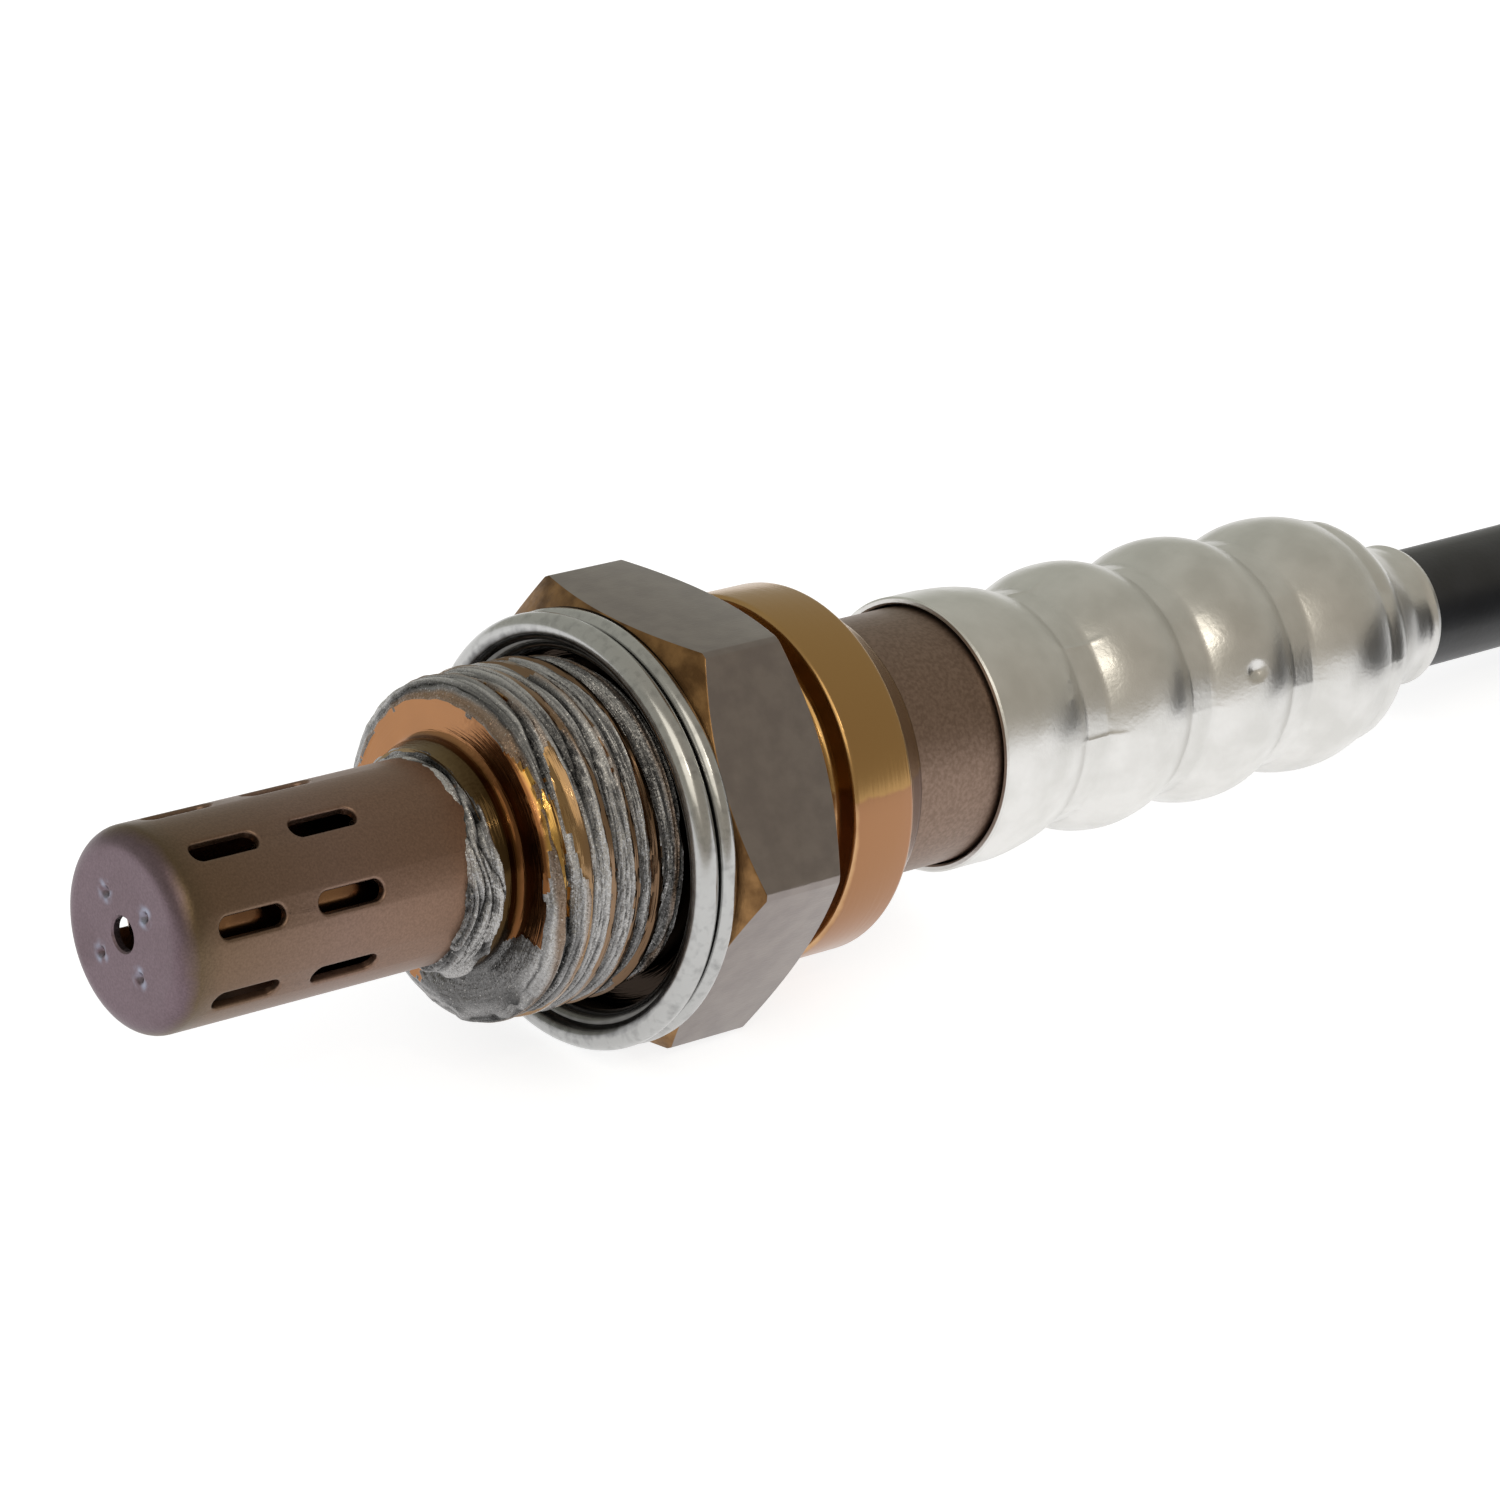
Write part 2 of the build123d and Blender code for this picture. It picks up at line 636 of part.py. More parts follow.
# ---------------------------------------------------------------- plug on the lead's end
entry_x, plug_y, plug_z = cord_points[-1]
plug_rear = entry_x - boot_length
plug_front = plug_rear - plug_length
seal_front = plug_rear - seal_depth
socket_floor = plug_front + socket_depth
cavity_width = plug_width - 2 * plug_wall
cavity_height = plug_height - 2 * plug_wall


def plug_plane(x):
    """Plane square to the plug, at x: its x is +Y, its y is up, its z to the lead."""
    return Plane(origin=(x, plug_y, plug_z), x_dir=(0, 1, 0), z_dir=(1, 0, 0))


with BuildPart() as plug_housing:
    with BuildSketch(plug_plane(plug_front)):
        RectangleRounded(plug_width, plug_height, plug_edge_round)
    extrude(amount=plug_length)
    with BuildSketch(plug_plane(plug_front)):
        RectangleRounded(cavity_width, cavity_height, plug_edge_round / 2)
    extrude(amount=socket_depth, mode=Mode.SUBTRACT)
    with BuildSketch(plug_plane(seal_front)):
        RectangleRounded(cavity_width, cavity_height, plug_edge_round / 2)
    extrude(amount=seal_depth, mode=Mode.SUBTRACT)
    with BuildSketch(plug_plane(socket_floor)):
        with GridLocations(pin_pitch, 0, pin_count, 1):
            Rectangle(pin_width + 2 * fit, pin_thickness + 2 * fit)
    extrude(amount=seal_front - socket_floor, mode=Mode.SUBTRACT)
    # ramp that the other half's latch snaps over
    with BuildSketch(Plane(origin=(plug_front + 4, plug_y, plug_z + plug_height / 2), z_dir=(0, -1, 0),
                           x_dir=(1, 0, 0))):
        with BuildLine():
            Polyline((0, -0.5), (latch_length, -0.5), (latch_length, latch_height),
                     (latch_length / 2, latch_height), (0, 0), close=True)
        make_face()
    extrude(amount=latch_width / 2, both=True)

with BuildPart() as plug_seal:
    with BuildSketch(plug_plane(seal_front)):
        RectangleRounded(cavity_width - 2 * fit, cavity_height - 2 * fit, plug_edge_round / 2)
    extrude(amount=seal_depth)
    with BuildSketch(plug_plane(plug_rear)):
        Ellipse(boot_root_diameter / 2, cavity_height / 2 + plug_wall / 2)
    with BuildSketch(plug_plane(entry_x)):
        Circle(boot_end_diameter / 2)
    loft()

with BuildPart() as plug_lock:
    with BuildSketch(plug_plane(socket_floor - lock_thickness)):
        RectangleRounded(cavity_width - 2 * fit, cavity_height - 2 * fit, plug_edge_round / 2)
        with GridLocations(pin_pitch, 0, pin_count, 1):
            Rectangle(pin_width + 2 * fit, pin_thickness + 2 * fit, mode=Mode.SUBTRACT)
    extrude(amount=lock_thickness)


def plug_pin(number):
    """Blade from the seal into the socket."""
    with BuildPart() as piece:
        with BuildSketch(plug_plane(socket_floor - pin_length)):
            with Locations(((number - (pin_count - 1) / 2) * pin_pitch, 0)):
                Rectangle(pin_width, pin_thickness)
        extrude(amount=seal_front - socket_floor + pin_length)
        tip = piece.faces().sort_by(Axis.X)[0]
        chamfer(tip.edges(), length=pin_thickness / 4)
    return piece


# ---------------------------------------------------------------- write each piece
pieces = {
    "outer_protection_tube": outer_protection_tube, "inner_protection_tube": inner_protection_tube,
    "sensing_element": sensing_element, "heater_rod": heater_rod, "housing": housing,
    "sealing_gasket": sealing_gasket, "element_washer": element_washer, "talc_packing": talc_packing,
    "ceramic_bush": ceramic_bush, "compression_ring": compression_ring, "inner_shell": inner_shell,
    "outer_sheath": outer_sheath, "terminal_holder": terminal_holder,
    "signal_terminal": signal_terminal, "ground_terminal": ground_terminal,
    "heater_terminal_a": heater_terminal_a, "heater_terminal_b": heater_terminal_b,
    "signal_wire": signal_wire, "ground_wire": ground_wire,
    "heater_wire_a": heater_wire_a, "heater_wire_b": heater_wire_b, "grommet": grommet,
    "lead_sleeve": lead_sleeve, "lead_tie": lead_tie, "plug_housing": plug_housing,
    "plug_seal": plug_seal, "plug_lock": plug_lock,
}
for number in range(pin_count):
    pieces[f"plug_pin_{number + 1}"] = plug_pin(number)

os.makedirs("parts", exist_ok=True)
for node, piece in pieces.items():
    piece.part.label = node
    export_step(piece.part, f"parts/{node}.step")
print("tilt", round(degrees(rest_tilt), 3), "bench", round(bench, 3))
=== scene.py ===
import json
from math import atan2, cos, hypot, pi, radians, sin, sqrt, tan

import bpy
from mathutils import Matrix, Vector, noise


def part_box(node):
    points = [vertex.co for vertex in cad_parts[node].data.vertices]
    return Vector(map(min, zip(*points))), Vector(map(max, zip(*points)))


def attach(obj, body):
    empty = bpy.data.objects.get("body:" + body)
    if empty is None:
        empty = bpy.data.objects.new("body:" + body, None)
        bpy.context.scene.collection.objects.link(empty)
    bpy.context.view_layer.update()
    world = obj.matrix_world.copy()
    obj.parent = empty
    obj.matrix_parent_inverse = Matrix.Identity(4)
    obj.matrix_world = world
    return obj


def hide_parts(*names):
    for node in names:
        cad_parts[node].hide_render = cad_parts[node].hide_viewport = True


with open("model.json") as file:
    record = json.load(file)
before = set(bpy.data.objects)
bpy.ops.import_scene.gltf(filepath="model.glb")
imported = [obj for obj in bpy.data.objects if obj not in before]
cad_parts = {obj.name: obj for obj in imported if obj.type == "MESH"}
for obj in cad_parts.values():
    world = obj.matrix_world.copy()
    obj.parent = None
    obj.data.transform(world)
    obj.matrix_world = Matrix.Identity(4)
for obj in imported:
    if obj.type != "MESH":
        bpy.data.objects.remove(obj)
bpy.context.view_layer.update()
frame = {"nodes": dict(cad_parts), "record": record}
bpy.ops.object.select_all(action="DESELECT")
nodes = frame["nodes"]

# ---------------------------------------------------------------- inner protection tube
# Deep-drawn stainless cup over the ceramic thimble, with gas holes of its own.
# It has run red hot, so it shows bronze through the slots of the outer tube.
MM = 0.001
# the sensor is turned work on one axis, which dips a few degrees from the gasket to the lead
seat = next(mount for mount in frame["record"]["mounts"] if mount["name"] == "boss_seat")
axis = -Vector(seat["axis"]).normalized()
dip = atan2(-axis.z, axis.x)


def linear(colour):
    """Linear RGBA of an sRGB hex colour."""
    shares = [int(colour[i:i + 2], 16) / 255 for i in (1, 3, 5)]
    return [s / 12.92 if s <= 0.04045 else ((s + 0.055) / 1.055) ** 2.4 for s in shares] + [1.0]


def node(tree, kind, inputs=(), stops=(), **settings):
    """Adds a shader node with its settings; an input is a value or another node's socket."""
    made = tree.nodes.new("ShaderNode" + kind)
    for name, value in settings.items():
        setattr(made, name, value)
    for socket, value in dict(inputs).items():
        if isinstance(value, bpy.types.NodeSocket):
            tree.links.new(value, made.inputs[socket])
        else:
            made.inputs[socket].default_value = value
    for i, (place, colour) in enumerate(stops):
        ramp = made.color_ramp.elements
        stop = ramp[i] if i < 2 else ramp.new(place)
        stop.position, stop.color = place, linear(colour)
    return made


def along_axis(tree):
    """Object coordinates turned so that X is the station and Y, Z lie across the axis."""
    place = node(tree, "TexCoord").outputs["Object"]
    return node(tree, "Mapping", {"Vector": place, "Rotation": (0, -dip, 0)}).outputs["Vector"]


def inside(material):
    """Node tree of a material and the shader in it."""
    return material.node_tree, material.node_tree.nodes["Principled BSDF"]


def finish(name, metallic, roughness, dark=None, light=None, patch=None, relief=None, grain=None):
    """New material. Its tint may wander between a dark and a light colour in patches of a size
    in mm, and a finer grain, in mm, may stand proud by the relief, in mm."""
    made = bpy.data.materials.new(name)
    made.use_nodes = True
    tree, shader = inside(made)
    shader.inputs["Metallic"].default_value = metallic
    shader.inputs["Roughness"].default_value = roughness
    place = along_axis(tree)
    if patch:
        patches = node(tree, "TexNoise", {"Vector": place, "Scale": 1 / (patch * MM), "Detail": 4.0})
        tint = node(tree, "ValToRGB", {"Fac": patches.outputs["Fac"]}, [(0.36, dark), (0.64, light)])
        tree.links.new(tint.outputs["Color"], shader.inputs["Base Color"])
    if relief:
        specks = node(tree, "TexNoise", {"Vector": place, "Scale": 1 / (grain * MM), "Detail": 2.0})
        bump = node(tree, "Bump", {"Height": specks.outputs["Fac"], "Distance": relief * MM})
        tree.links.new(bump.outputs["Normal"], shader.inputs["Normal"])
    return made


def dress(material, *names):
    """Gives CAD pieces their finish."""
    for name in names:
        nodes[name].data.materials.clear()
        nodes[name].data.materials.append(material)


# stainless, drawn smooth and heated: a shiny bronze that catches the light behind the slots
bronze_tube = finish("stainless_drawn_bronze_tint", metallic=1.0, roughness=0.18,
                     dark="#6f4f3a", light="#8a6648", patch=2.0, relief=0.002, grain=0.2)
dress(bronze_tube, "inner_protection_tube")

# ---------------------------------------------------------------- sensing element and heater
# Thimble of sintered zirconia with platinum inside and out, and an alumina rod that heats it.
# Both are matt and off-white, and hide behind the tubes.
# zirconia, sintered: a warm ivory, dense and smooth, with the faint grain of pressed powder
zirconia = finish("zirconia_sintered", metallic=0.0, roughness=0.5,
                  dark="#cfc9ba", light="#e6e1d5", patch=1.5, relief=0.004, grain=0.15)
# alumina, fired without a glaze: a chalky white, a little rougher than the zirconia
alumina = finish("alumina_fired", metallic=0.0, roughness=0.55,
                 dark="#dedbd2", light="#f0eee8", patch=1.2, relief=0.004, grain=0.12)
dress(zirconia, "sensing_element")
dress(alumina, "heater_rod", "ceramic_bush", "terminal_holder")

# ---------------------------------------------------------------- outer protection tube
# Deep-drawn stainless cup with two rows of eight pierced slots, a gas hole and four punch marks
# in its nose. Heat has tinted it brown, turning to lilac on the nose and copper at the root.
# Turned pieces are made along Z, in mm of station: the distance behind the hexagon's sealing face.
tube_radius, tube_wall = 5.26, 0.45
nose, tube_rear = -29.44, -8.0
nose_round = 1.2
nose_hole = 0.88
edge_break = 0.1                # sharp edges are broken by this much
slot_count, slot_length, slot_width = 8, 3.95, 1.15
slot_phase = 26
first_row, row_pitch = 4.1, 5.93
slot_middles = (nose + first_row, nose + first_row + row_pitch)
strips = 24                     # flat strips from one slot to the next
slot_lip = 0.17                 # the punch rounds the lip of each slot


def turn(name, outline, steps):
    """Skin of revolution about Z round a closed outline of (station, radius) points in mm."""
    bpy.ops.mesh.primitive_plane_add(size=MM)
    piece = bpy.context.object
    piece.name = piece.data.name = name
    bpy.ops.object.mode_set(mode="EDIT")
    bpy.ops.mesh.merge(type="CENTER")
    bpy.ops.transform.translate(value=(outline[0][1] * MM, 0, outline[0][0] * MM))
    for before, after in zip(outline, outline[1:] + outline[:1]):
        step = ((after[1] - before[1]) * MM, 0, (after[0] - before[0]) * MM)
        bpy.ops.mesh.extrude_region_move(TRANSFORM_OT_translate={"value": step})
    bpy.ops.mesh.select_all(action="SELECT")
    bpy.ops.mesh.spin(steps=steps, angle=2 * pi, center=(0, 0, 0), axis=(0, 0, 1))
    bpy.ops.mesh.select_all(action="SELECT")
    bpy.ops.mesh.remove_doubles(threshold=0.002 * MM)
    bpy.ops.mesh.normals_make_consistent(inside=False)
    bpy.ops.object.mode_set(mode="OBJECT")
    return piece


def arc(station, radius, size, start, end, count=6):
    """Round stretch of an outline; angles in degrees from the way of the lead."""
    ways = [radians(start + (end - start) * i / count) for i in range(count + 1)]
    return [(station + size * cos(way), radius + size * sin(way)) for way in ways]


def run(start, end, pitch):
    """Straight stretch of an outline in short steps, without its first point."""
    count = max(1, round(hypot(end[0] - start[0], end[1] - start[1]) / pitch))
    return [(start[0] + (end[0] - start[0]) * i / count, start[1] + (end[1] - start[1]) * i / count)
            for i in range(1, count + 1)]


def whereabouts(vertex):
    """Angle round the axis, station and radius of a point of a turned piece, in mm."""
    way = atan2(vertex.co.y, vertex.co.x) % (2 * pi)
    return way, vertex.co.z / MM, vertex.co.xy.length / MM


def apply_modifier(piece, kind, **settings):
    """Adds a modifier to the piece and applies it."""
    modifier = piece.modifiers.new(kind.lower(), kind)
    for name, value in settings.items():
        setattr(modifier, name, value)
    bpy.context.view_layer.objects.active = piece
    bpy.ops.object.modifier_apply(modifier=modifier.name)


def join(piece, *others):
    """Makes the others part of a piece."""
    bpy.ops.object.select_all(action="DESELECT")
    for part in (piece, *others):
        part.select_set(True)
    bpy.context.view_layer.objects.active = piece
    bpy.ops.object.join()


# what is along Z lies on the sensor's axis, and angles round it count from +Y upwards
in_place = Matrix((Vector((0, 1, 0)), Vector((-axis.z, 0, axis.x)), axis)).transposed().to_4x4()


def mount_piece(piece, material, replaced=(), smooth=35):
    bpy.ops.object.select_all(action="DESELECT")
    piece.select_set(True)
    bpy.context.view_layer.objects.active = piece
    piece.matrix_world = in_place @ piece.matrix_world
    bpy.ops.object.transform_apply(location=True, rotation=True, scale=True)
    bpy.ops.object.shade_smooth_by_angle(angle=radians(smooth))
    if material:
        piece.data.materials.clear()
        piece.data.materials.append(material)
    piece.select_set(False)
    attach(piece, "root")
    if replaced:
        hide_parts(*replaced)


# one eighth of the wall is a flat plate with two slots: X round the tube, Y out, Z the station
wall_front = nose + nose_round
panel_turn = 2 * pi / slot_count
panel_width = panel_turn * tube_radius
bpy.ops.mesh.primitive_cube_add(size=1, location=(0, 0, (wall_front + tube_rear) / 2 * MM),
                                scale=(panel_width * MM, tube_wall * MM,
                                       (tube_rear - wall_front) * MM))
panel = bpy.context.object
panel.name = panel.data.name = "slotted_tube"
bpy.ops.object.transform_apply(location=True, rotation=True, scale=True)
for middle in slot_middles:
    bpy.ops.mesh.primitive_cylinder_add(vertices=40, radius=1, depth=4 * tube_wall * MM,
                                        rotation=(pi / 2, 0, 0))
    punch = bpy.context.object
    bpy.ops.object.transform_apply(location=True, rotation=True, scale=True)
    for vertex in punch.data.vertices:
        x, z = vertex.co.x, vertex.co.z
        straight = (slot_length - slot_width) / 2
        vertex.co.x = x * slot_width / 2 * MM
        vertex.co.z = (middle + z * slot_width / 2 + (straight if z > 0 else -straight)) * MM
    apply_modifier(panel, "BOOLEAN", operation="DIFFERENCE", object=punch, solver="EXACT")
    bpy.data.objects.remove(punch)
bpy.ops.object.select_all(action="DESELECT")
panel.select_set(True)
bpy.ops.object.mode_set(mode="EDIT")
bpy.ops.mesh.select_all(action="DESELECT")
bpy.ops.mesh.select_mode(type="EDGE")
bpy.ops.object.mode_set(mode="OBJECT")
for edge in panel.data.edges:
    # the lips are the edges of the outer face that are well away from the plate's own rim
    ends = [panel.data.vertices[i].co for i in edge.vertices]
    edge.select = all(end.y > 0.4 * tube_wall * MM and abs(end.x) < 0.3 * panel_width * MM
                      for end in ends)
bpy.ops.object.mode_set(mode="EDIT")
bpy.ops.mesh.bevel(offset=slot_lip * MM, segments=4, affect="EDGES")
bpy.ops.mesh.select_mode(type="VERT")
for i in range(1, strips):
    bpy.ops.mesh.select_all(action="SELECT")
    bpy.ops.mesh.bisect(plane_co=((i / strips - 0.5) * panel_width * MM, 0, 0), plane_no=(1, 0, 0))
bpy.ops.mesh.select_all(action="SELECT")
bpy.ops.mesh.quads_convert_to_tris()
bpy.ops.object.mode_set(mode="OBJECT")

# eight plates side by side are rolled into the tube
apply_modifier(panel, "ARRAY", count=slot_count, use_relative_offset=True,
               relative_offset_displace=(1, 0, 0), use_merge_vertices=True,
               merge_threshold=0.0001 * MM)
for vertex in panel.data.vertices:
    way = vertex.co.x / MM / tube_radius + radians(slot_phase)
    depth = vertex.co.y / MM - tube_wall / 2
    vertex.co.x = (tube_radius + depth) * cos(way) * MM
    vertex.co.y = (tube_radius + depth) * sin(way) * MM

# the nose: a flat with punch marks, pressed round into the wall
dimple_count, dimple_radius, dimple_depth = 4, 0.40, 0.26
dimple_circle, dimple_phase = 2.3, 47
# the pale ring round each punch mark is a painted highlight
halo_radius, halo_gap_size = 0.36, 0.45     # pale ring round each mark, and the size of its gaps
hole_edge = (nose, nose_hole + edge_break)
nose_middle = tube_radius - nose_round
cup_outside = ([hole_edge] + run(hole_edge, (nose, nose_middle), 0.1)
               + arc(wall_front, nose_middle, nose_round, 180, 90, 12)[1:])
cup_inside = (arc(wall_front, nose_middle, nose_round - tube_wall, 90, 180, 8)
              + [(nose + tube_wall, nose_hole), (nose + edge_break, nose_hole)])
cup_nose = turn("nose", cup_outside + cup_inside, slot_count * strips)
halo = cup_nose.data.attributes.new("halo", "FLOAT", "POINT")
for vertex in cup_nose.data.vertices:
    way, station, radius = whereabouts(vertex)
    way += radians(slot_phase) - panel_turn / 2
    vertex.co.x, vertex.co.y = radius * cos(way) * MM, radius * sin(way) * MM
    if station < nose + edge_break / 2:
        for i in range(dimple_count):
            mark = radians(dimple_phase + 360 * i / dimple_count)
            gap = hypot(vertex.co.x / MM - dimple_circle * cos(mark),
                        vertex.co.y / MM - dimple_circle * sin(mark))
            if gap < dimple_radius:
                vertex.co.z += dimple_depth * MM * (0.5 + 0.5 * cos(pi * gap / dimple_radius))
            # painted highlight: a pale ring round each mark, with gaps in it
            blot = noise.noise(Vector((vertex.co.x, vertex.co.y, 0)) / (halo_gap_size * MM))
            ring = max(0.0, 1 - abs(gap - halo_radius) / halo_radius)
            halo.data[vertex.index].value += (0.21 + 0.78 * blot) * ring
join(panel, cup_nose)
bpy.ops.object.mode_set(mode="EDIT")
bpy.ops.mesh.select_all(action="SELECT")
bpy.ops.mesh.remove_doubles(threshold=0.004 * MM)
bpy.ops.mesh.select_all(action="DESELECT")
bpy.ops.mesh.select_mode(type="FACE")
bpy.ops.object.mode_set(mode="OBJECT")
# the two end faces where nose and wall meet are shut inside the metal, and go
for face in panel.data.polygons:
    spread = [panel.data.vertices[i].co.z / MM for i in face.vertices]
    face.select = max(spread) < wall_front + 0.01 and min(spread) > wall_front - 0.01
bpy.ops.object.mode_set(mode="EDIT")
bpy.ops.mesh.delete(type="FACE")
bpy.ops.mesh.select_mode(type="VERT")
bpy.ops.mesh.select_all(action="SELECT")
bpy.ops.mesh.normals_make_consistent(inside=False)
bpy.ops.object.mode_set(mode="OBJECT")


def tint_by_station(tree, front, rear, stops, patch, wander, detail=3.0):
    """Colour bands from one station in mm to another, as heating left them, and in some calls
    painted shade and painted highlights too. Its bands wander by a share of that length in patches
    of a size in mm."""
    station = node(tree, "SeparateXYZ", {"Vector": along_axis(tree)}).outputs["X"]
    share = node(tree, "MapRange", {"Value": station, "From Min": front * MM, "From Max": rear * MM})
    patches = node(tree, "TexNoise", {"Vector": along_axis(tree), "Scale": 1 / (patch * MM),
                                      "Detail": detail})
    shifted = node(tree, "Math", {0: patches.outputs["Fac"], 1: wander, 2: -wander / 2},
                   operation="MULTIPLY_ADD")
    share = node(tree, "Math", {0: share.outputs["Result"], 1: shifted.outputs[0]},
                 operation="ADD")
    return node(tree, "ValToRGB", {"Fac": share.outputs[0]}, stops).outputs["Color"]


# stainless, drawn and heated: satin brown with a fine speckle; its tints run from lilac on the
# nose over olive on the bend to copper at the root. The grain of the drawn sheet is finer than
# a tenth of a millimetre, and is drawn at 0.16 and 0.12 mm so that it shows.
tinted_length, speck_size = 18.94, 0.12
tube_steel = finish("stainless_drawn_brown_tint", metallic=1.0, roughness=0.4,
                    relief=0.010, grain=0.16)
tree, shader = inside(tube_steel)
station_tint = tint_by_station(tree, nose, nose + tinted_length,
                 [(0.0, "#75656c"), (0.018, "#6c5c62"), (0.05, "#655543"), (0.12, "#75604f"),
                  (0.5, "#826b5f"), (0.85, "#866c5c"), (1.0, "#8f6d57")],
                 patch=3.333, wander=0.06)
grain = node(tree, "TexNoise", {"Vector": along_axis(tree), "Scale": 1 / (speck_size * MM),
                                "Detail": 2.0})
speck = node(tree, "MapRange", {"Value": grain.outputs["Fac"], "From Min": 0.3, "From Max": 0.7,
                                "To Min": 0.86, "To Max": 1.1})
tinted = node(tree, "VectorMath", {0: station_tint, "Scale": speck.outputs["Result"]}, operation="SCALE")
# painted highlight: a pale bluish ring round each punch mark
halo_highlight = node(tree, "Attribute", attribute_name="halo")
painted_halo = node(tree, "Mix", {0: halo_highlight.outputs["Fac"], 6: tinted.outputs["Vector"],
                            7: linear("#aab6cc")}, data_type="RGBA")
tree.links.new(painted_halo.outputs[2], shader.inputs["Base Color"])
mount_piece(panel, tube_steel, ["outer_protection_tube"])

# ---------------------------------------------------------------- housing: threaded shank
# Turned from stainless bar: spigot, end face and M18 thread. Welding heat has left the metal
# copper and gold, and grey anti-seize paste with metal flakes is worked into the thread.
thread_pitch, thread_depth = 1.5, 0.92
crest_half, flank = 0.3 / 3.4, 1 / 3.4  # half the crest's flat and one flank, as shares of the pitch
thread_front, thread_rear = -9.5, -2.2
thread_radius, tip_radius, neck_radius = 9.0, 7.8, 8.1
lead_in, run_out_slope = 2.0, 1.6
neck_front, neck_full = -1.0, -0.7
spigot_front, spigot_rim, spigot_radius = -11.1, 5.65, 6.0
spigot_rim_length, spigot_root = 0.85, 0.4
element_bore, tube_bore, tube_seat = 4.4, 5.31, -7.6
shank_steps, row = 480, 0.075   # points round the thread, and from one ring of them to the next
# the paste: the radius it fills the roots to, and the heights of what is torn and combed in it
paste_fill, paste_over_crest = 8.33, 0.16
paste_layer, paste_shred, paste_crumb, paste_swell = 0.42, 0.16, 0.03, 0.16
paste_thins_from, paste_thinning = -4.0, 0.125      # less of it is left towards the hexagon
paste_lip = 0.12                # how far it stands over the lead-in cone
thinnest = 0.03                 # below this it doesn't hide the end face
wipe_depth = 0.9
# where it is wiped bare: angle, half width, station, reach, share, how it fades, torn or clean
wipes = [(147, 32, -8.6, 1.4, 1.0, 0.5, True), (176, 14, -8.3, 0.8, 0.8, 1.0, True),
         (128, 30, -2.6, 0.5, 1.0, 1.0, False), (215, 40, -2.2, 0.6, 1.0, 1.0, False)]
# where it hangs in a thick smear: the lowest side, as an angle and two half widths, how far it
# pushes the edge out, how high it lies on the end face, and the radius where it thins out there
smear_way, smear_reach, smear_core = 238, 52, 40
smear_push, smear_height, smear_inner = 0.5, 0.34, 7.0


def wave(way, station, round_size, along_size, seed=0.0):
    """Smooth noise round the shank; its sizes round and along the axis are in mm."""
    reach = thread_radius / round_size
    return noise.noise(Vector((reach * cos(way) + seed, reach * sin(way) - seed,
                               station / along_size)))


def near(way, degrees, width):
    """1 at an angle, falling smoothly to 0 at the width in degrees."""
    off = abs((way - radians(degrees) + pi) % (2 * pi) - pi)
    return max(0.0, 1 - (off / radians(width)) ** 2)


def tooth(way, station):
    """Height of the thread over its root, from 0 to 1: a flat crest, two flanks and a flat root."""
    turn_share = (station / thread_pitch - way / (2 * pi)) % 1.0
    return min(1.0, max(0.0, (crest_half + flank - abs(turn_share - 0.5)) / flank))


rim_rear = spigot_front + spigot_rim_length
root_front, root_radius = thread_front - spigot_root, spigot_radius + spigot_root
shank_outline = ([(spigot_front, tube_bore), (spigot_front, spigot_rim)]
                 + run((spigot_front, spigot_rim), (rim_rear, spigot_radius), 0.15)
                 + run((rim_rear, spigot_radius), (root_front, spigot_radius), 0.1)
                 + arc(root_front, root_radius, spigot_root, -90, 0, 5)[1:]
                 + run((thread_front, root_radius), (thread_front, tip_radius), 0.09)
                 + run((thread_front, tip_radius), (neck_front, tip_radius), row)
                 + [(neck_full, neck_radius), (0.0, neck_radius), (0.0, element_bore),
                    (tube_seat, element_bore), (tube_seat, tube_bore)])
shank = turn("threaded_shank", shank_outline, shank_steps)
covered, shade, film = {}, {}, {}
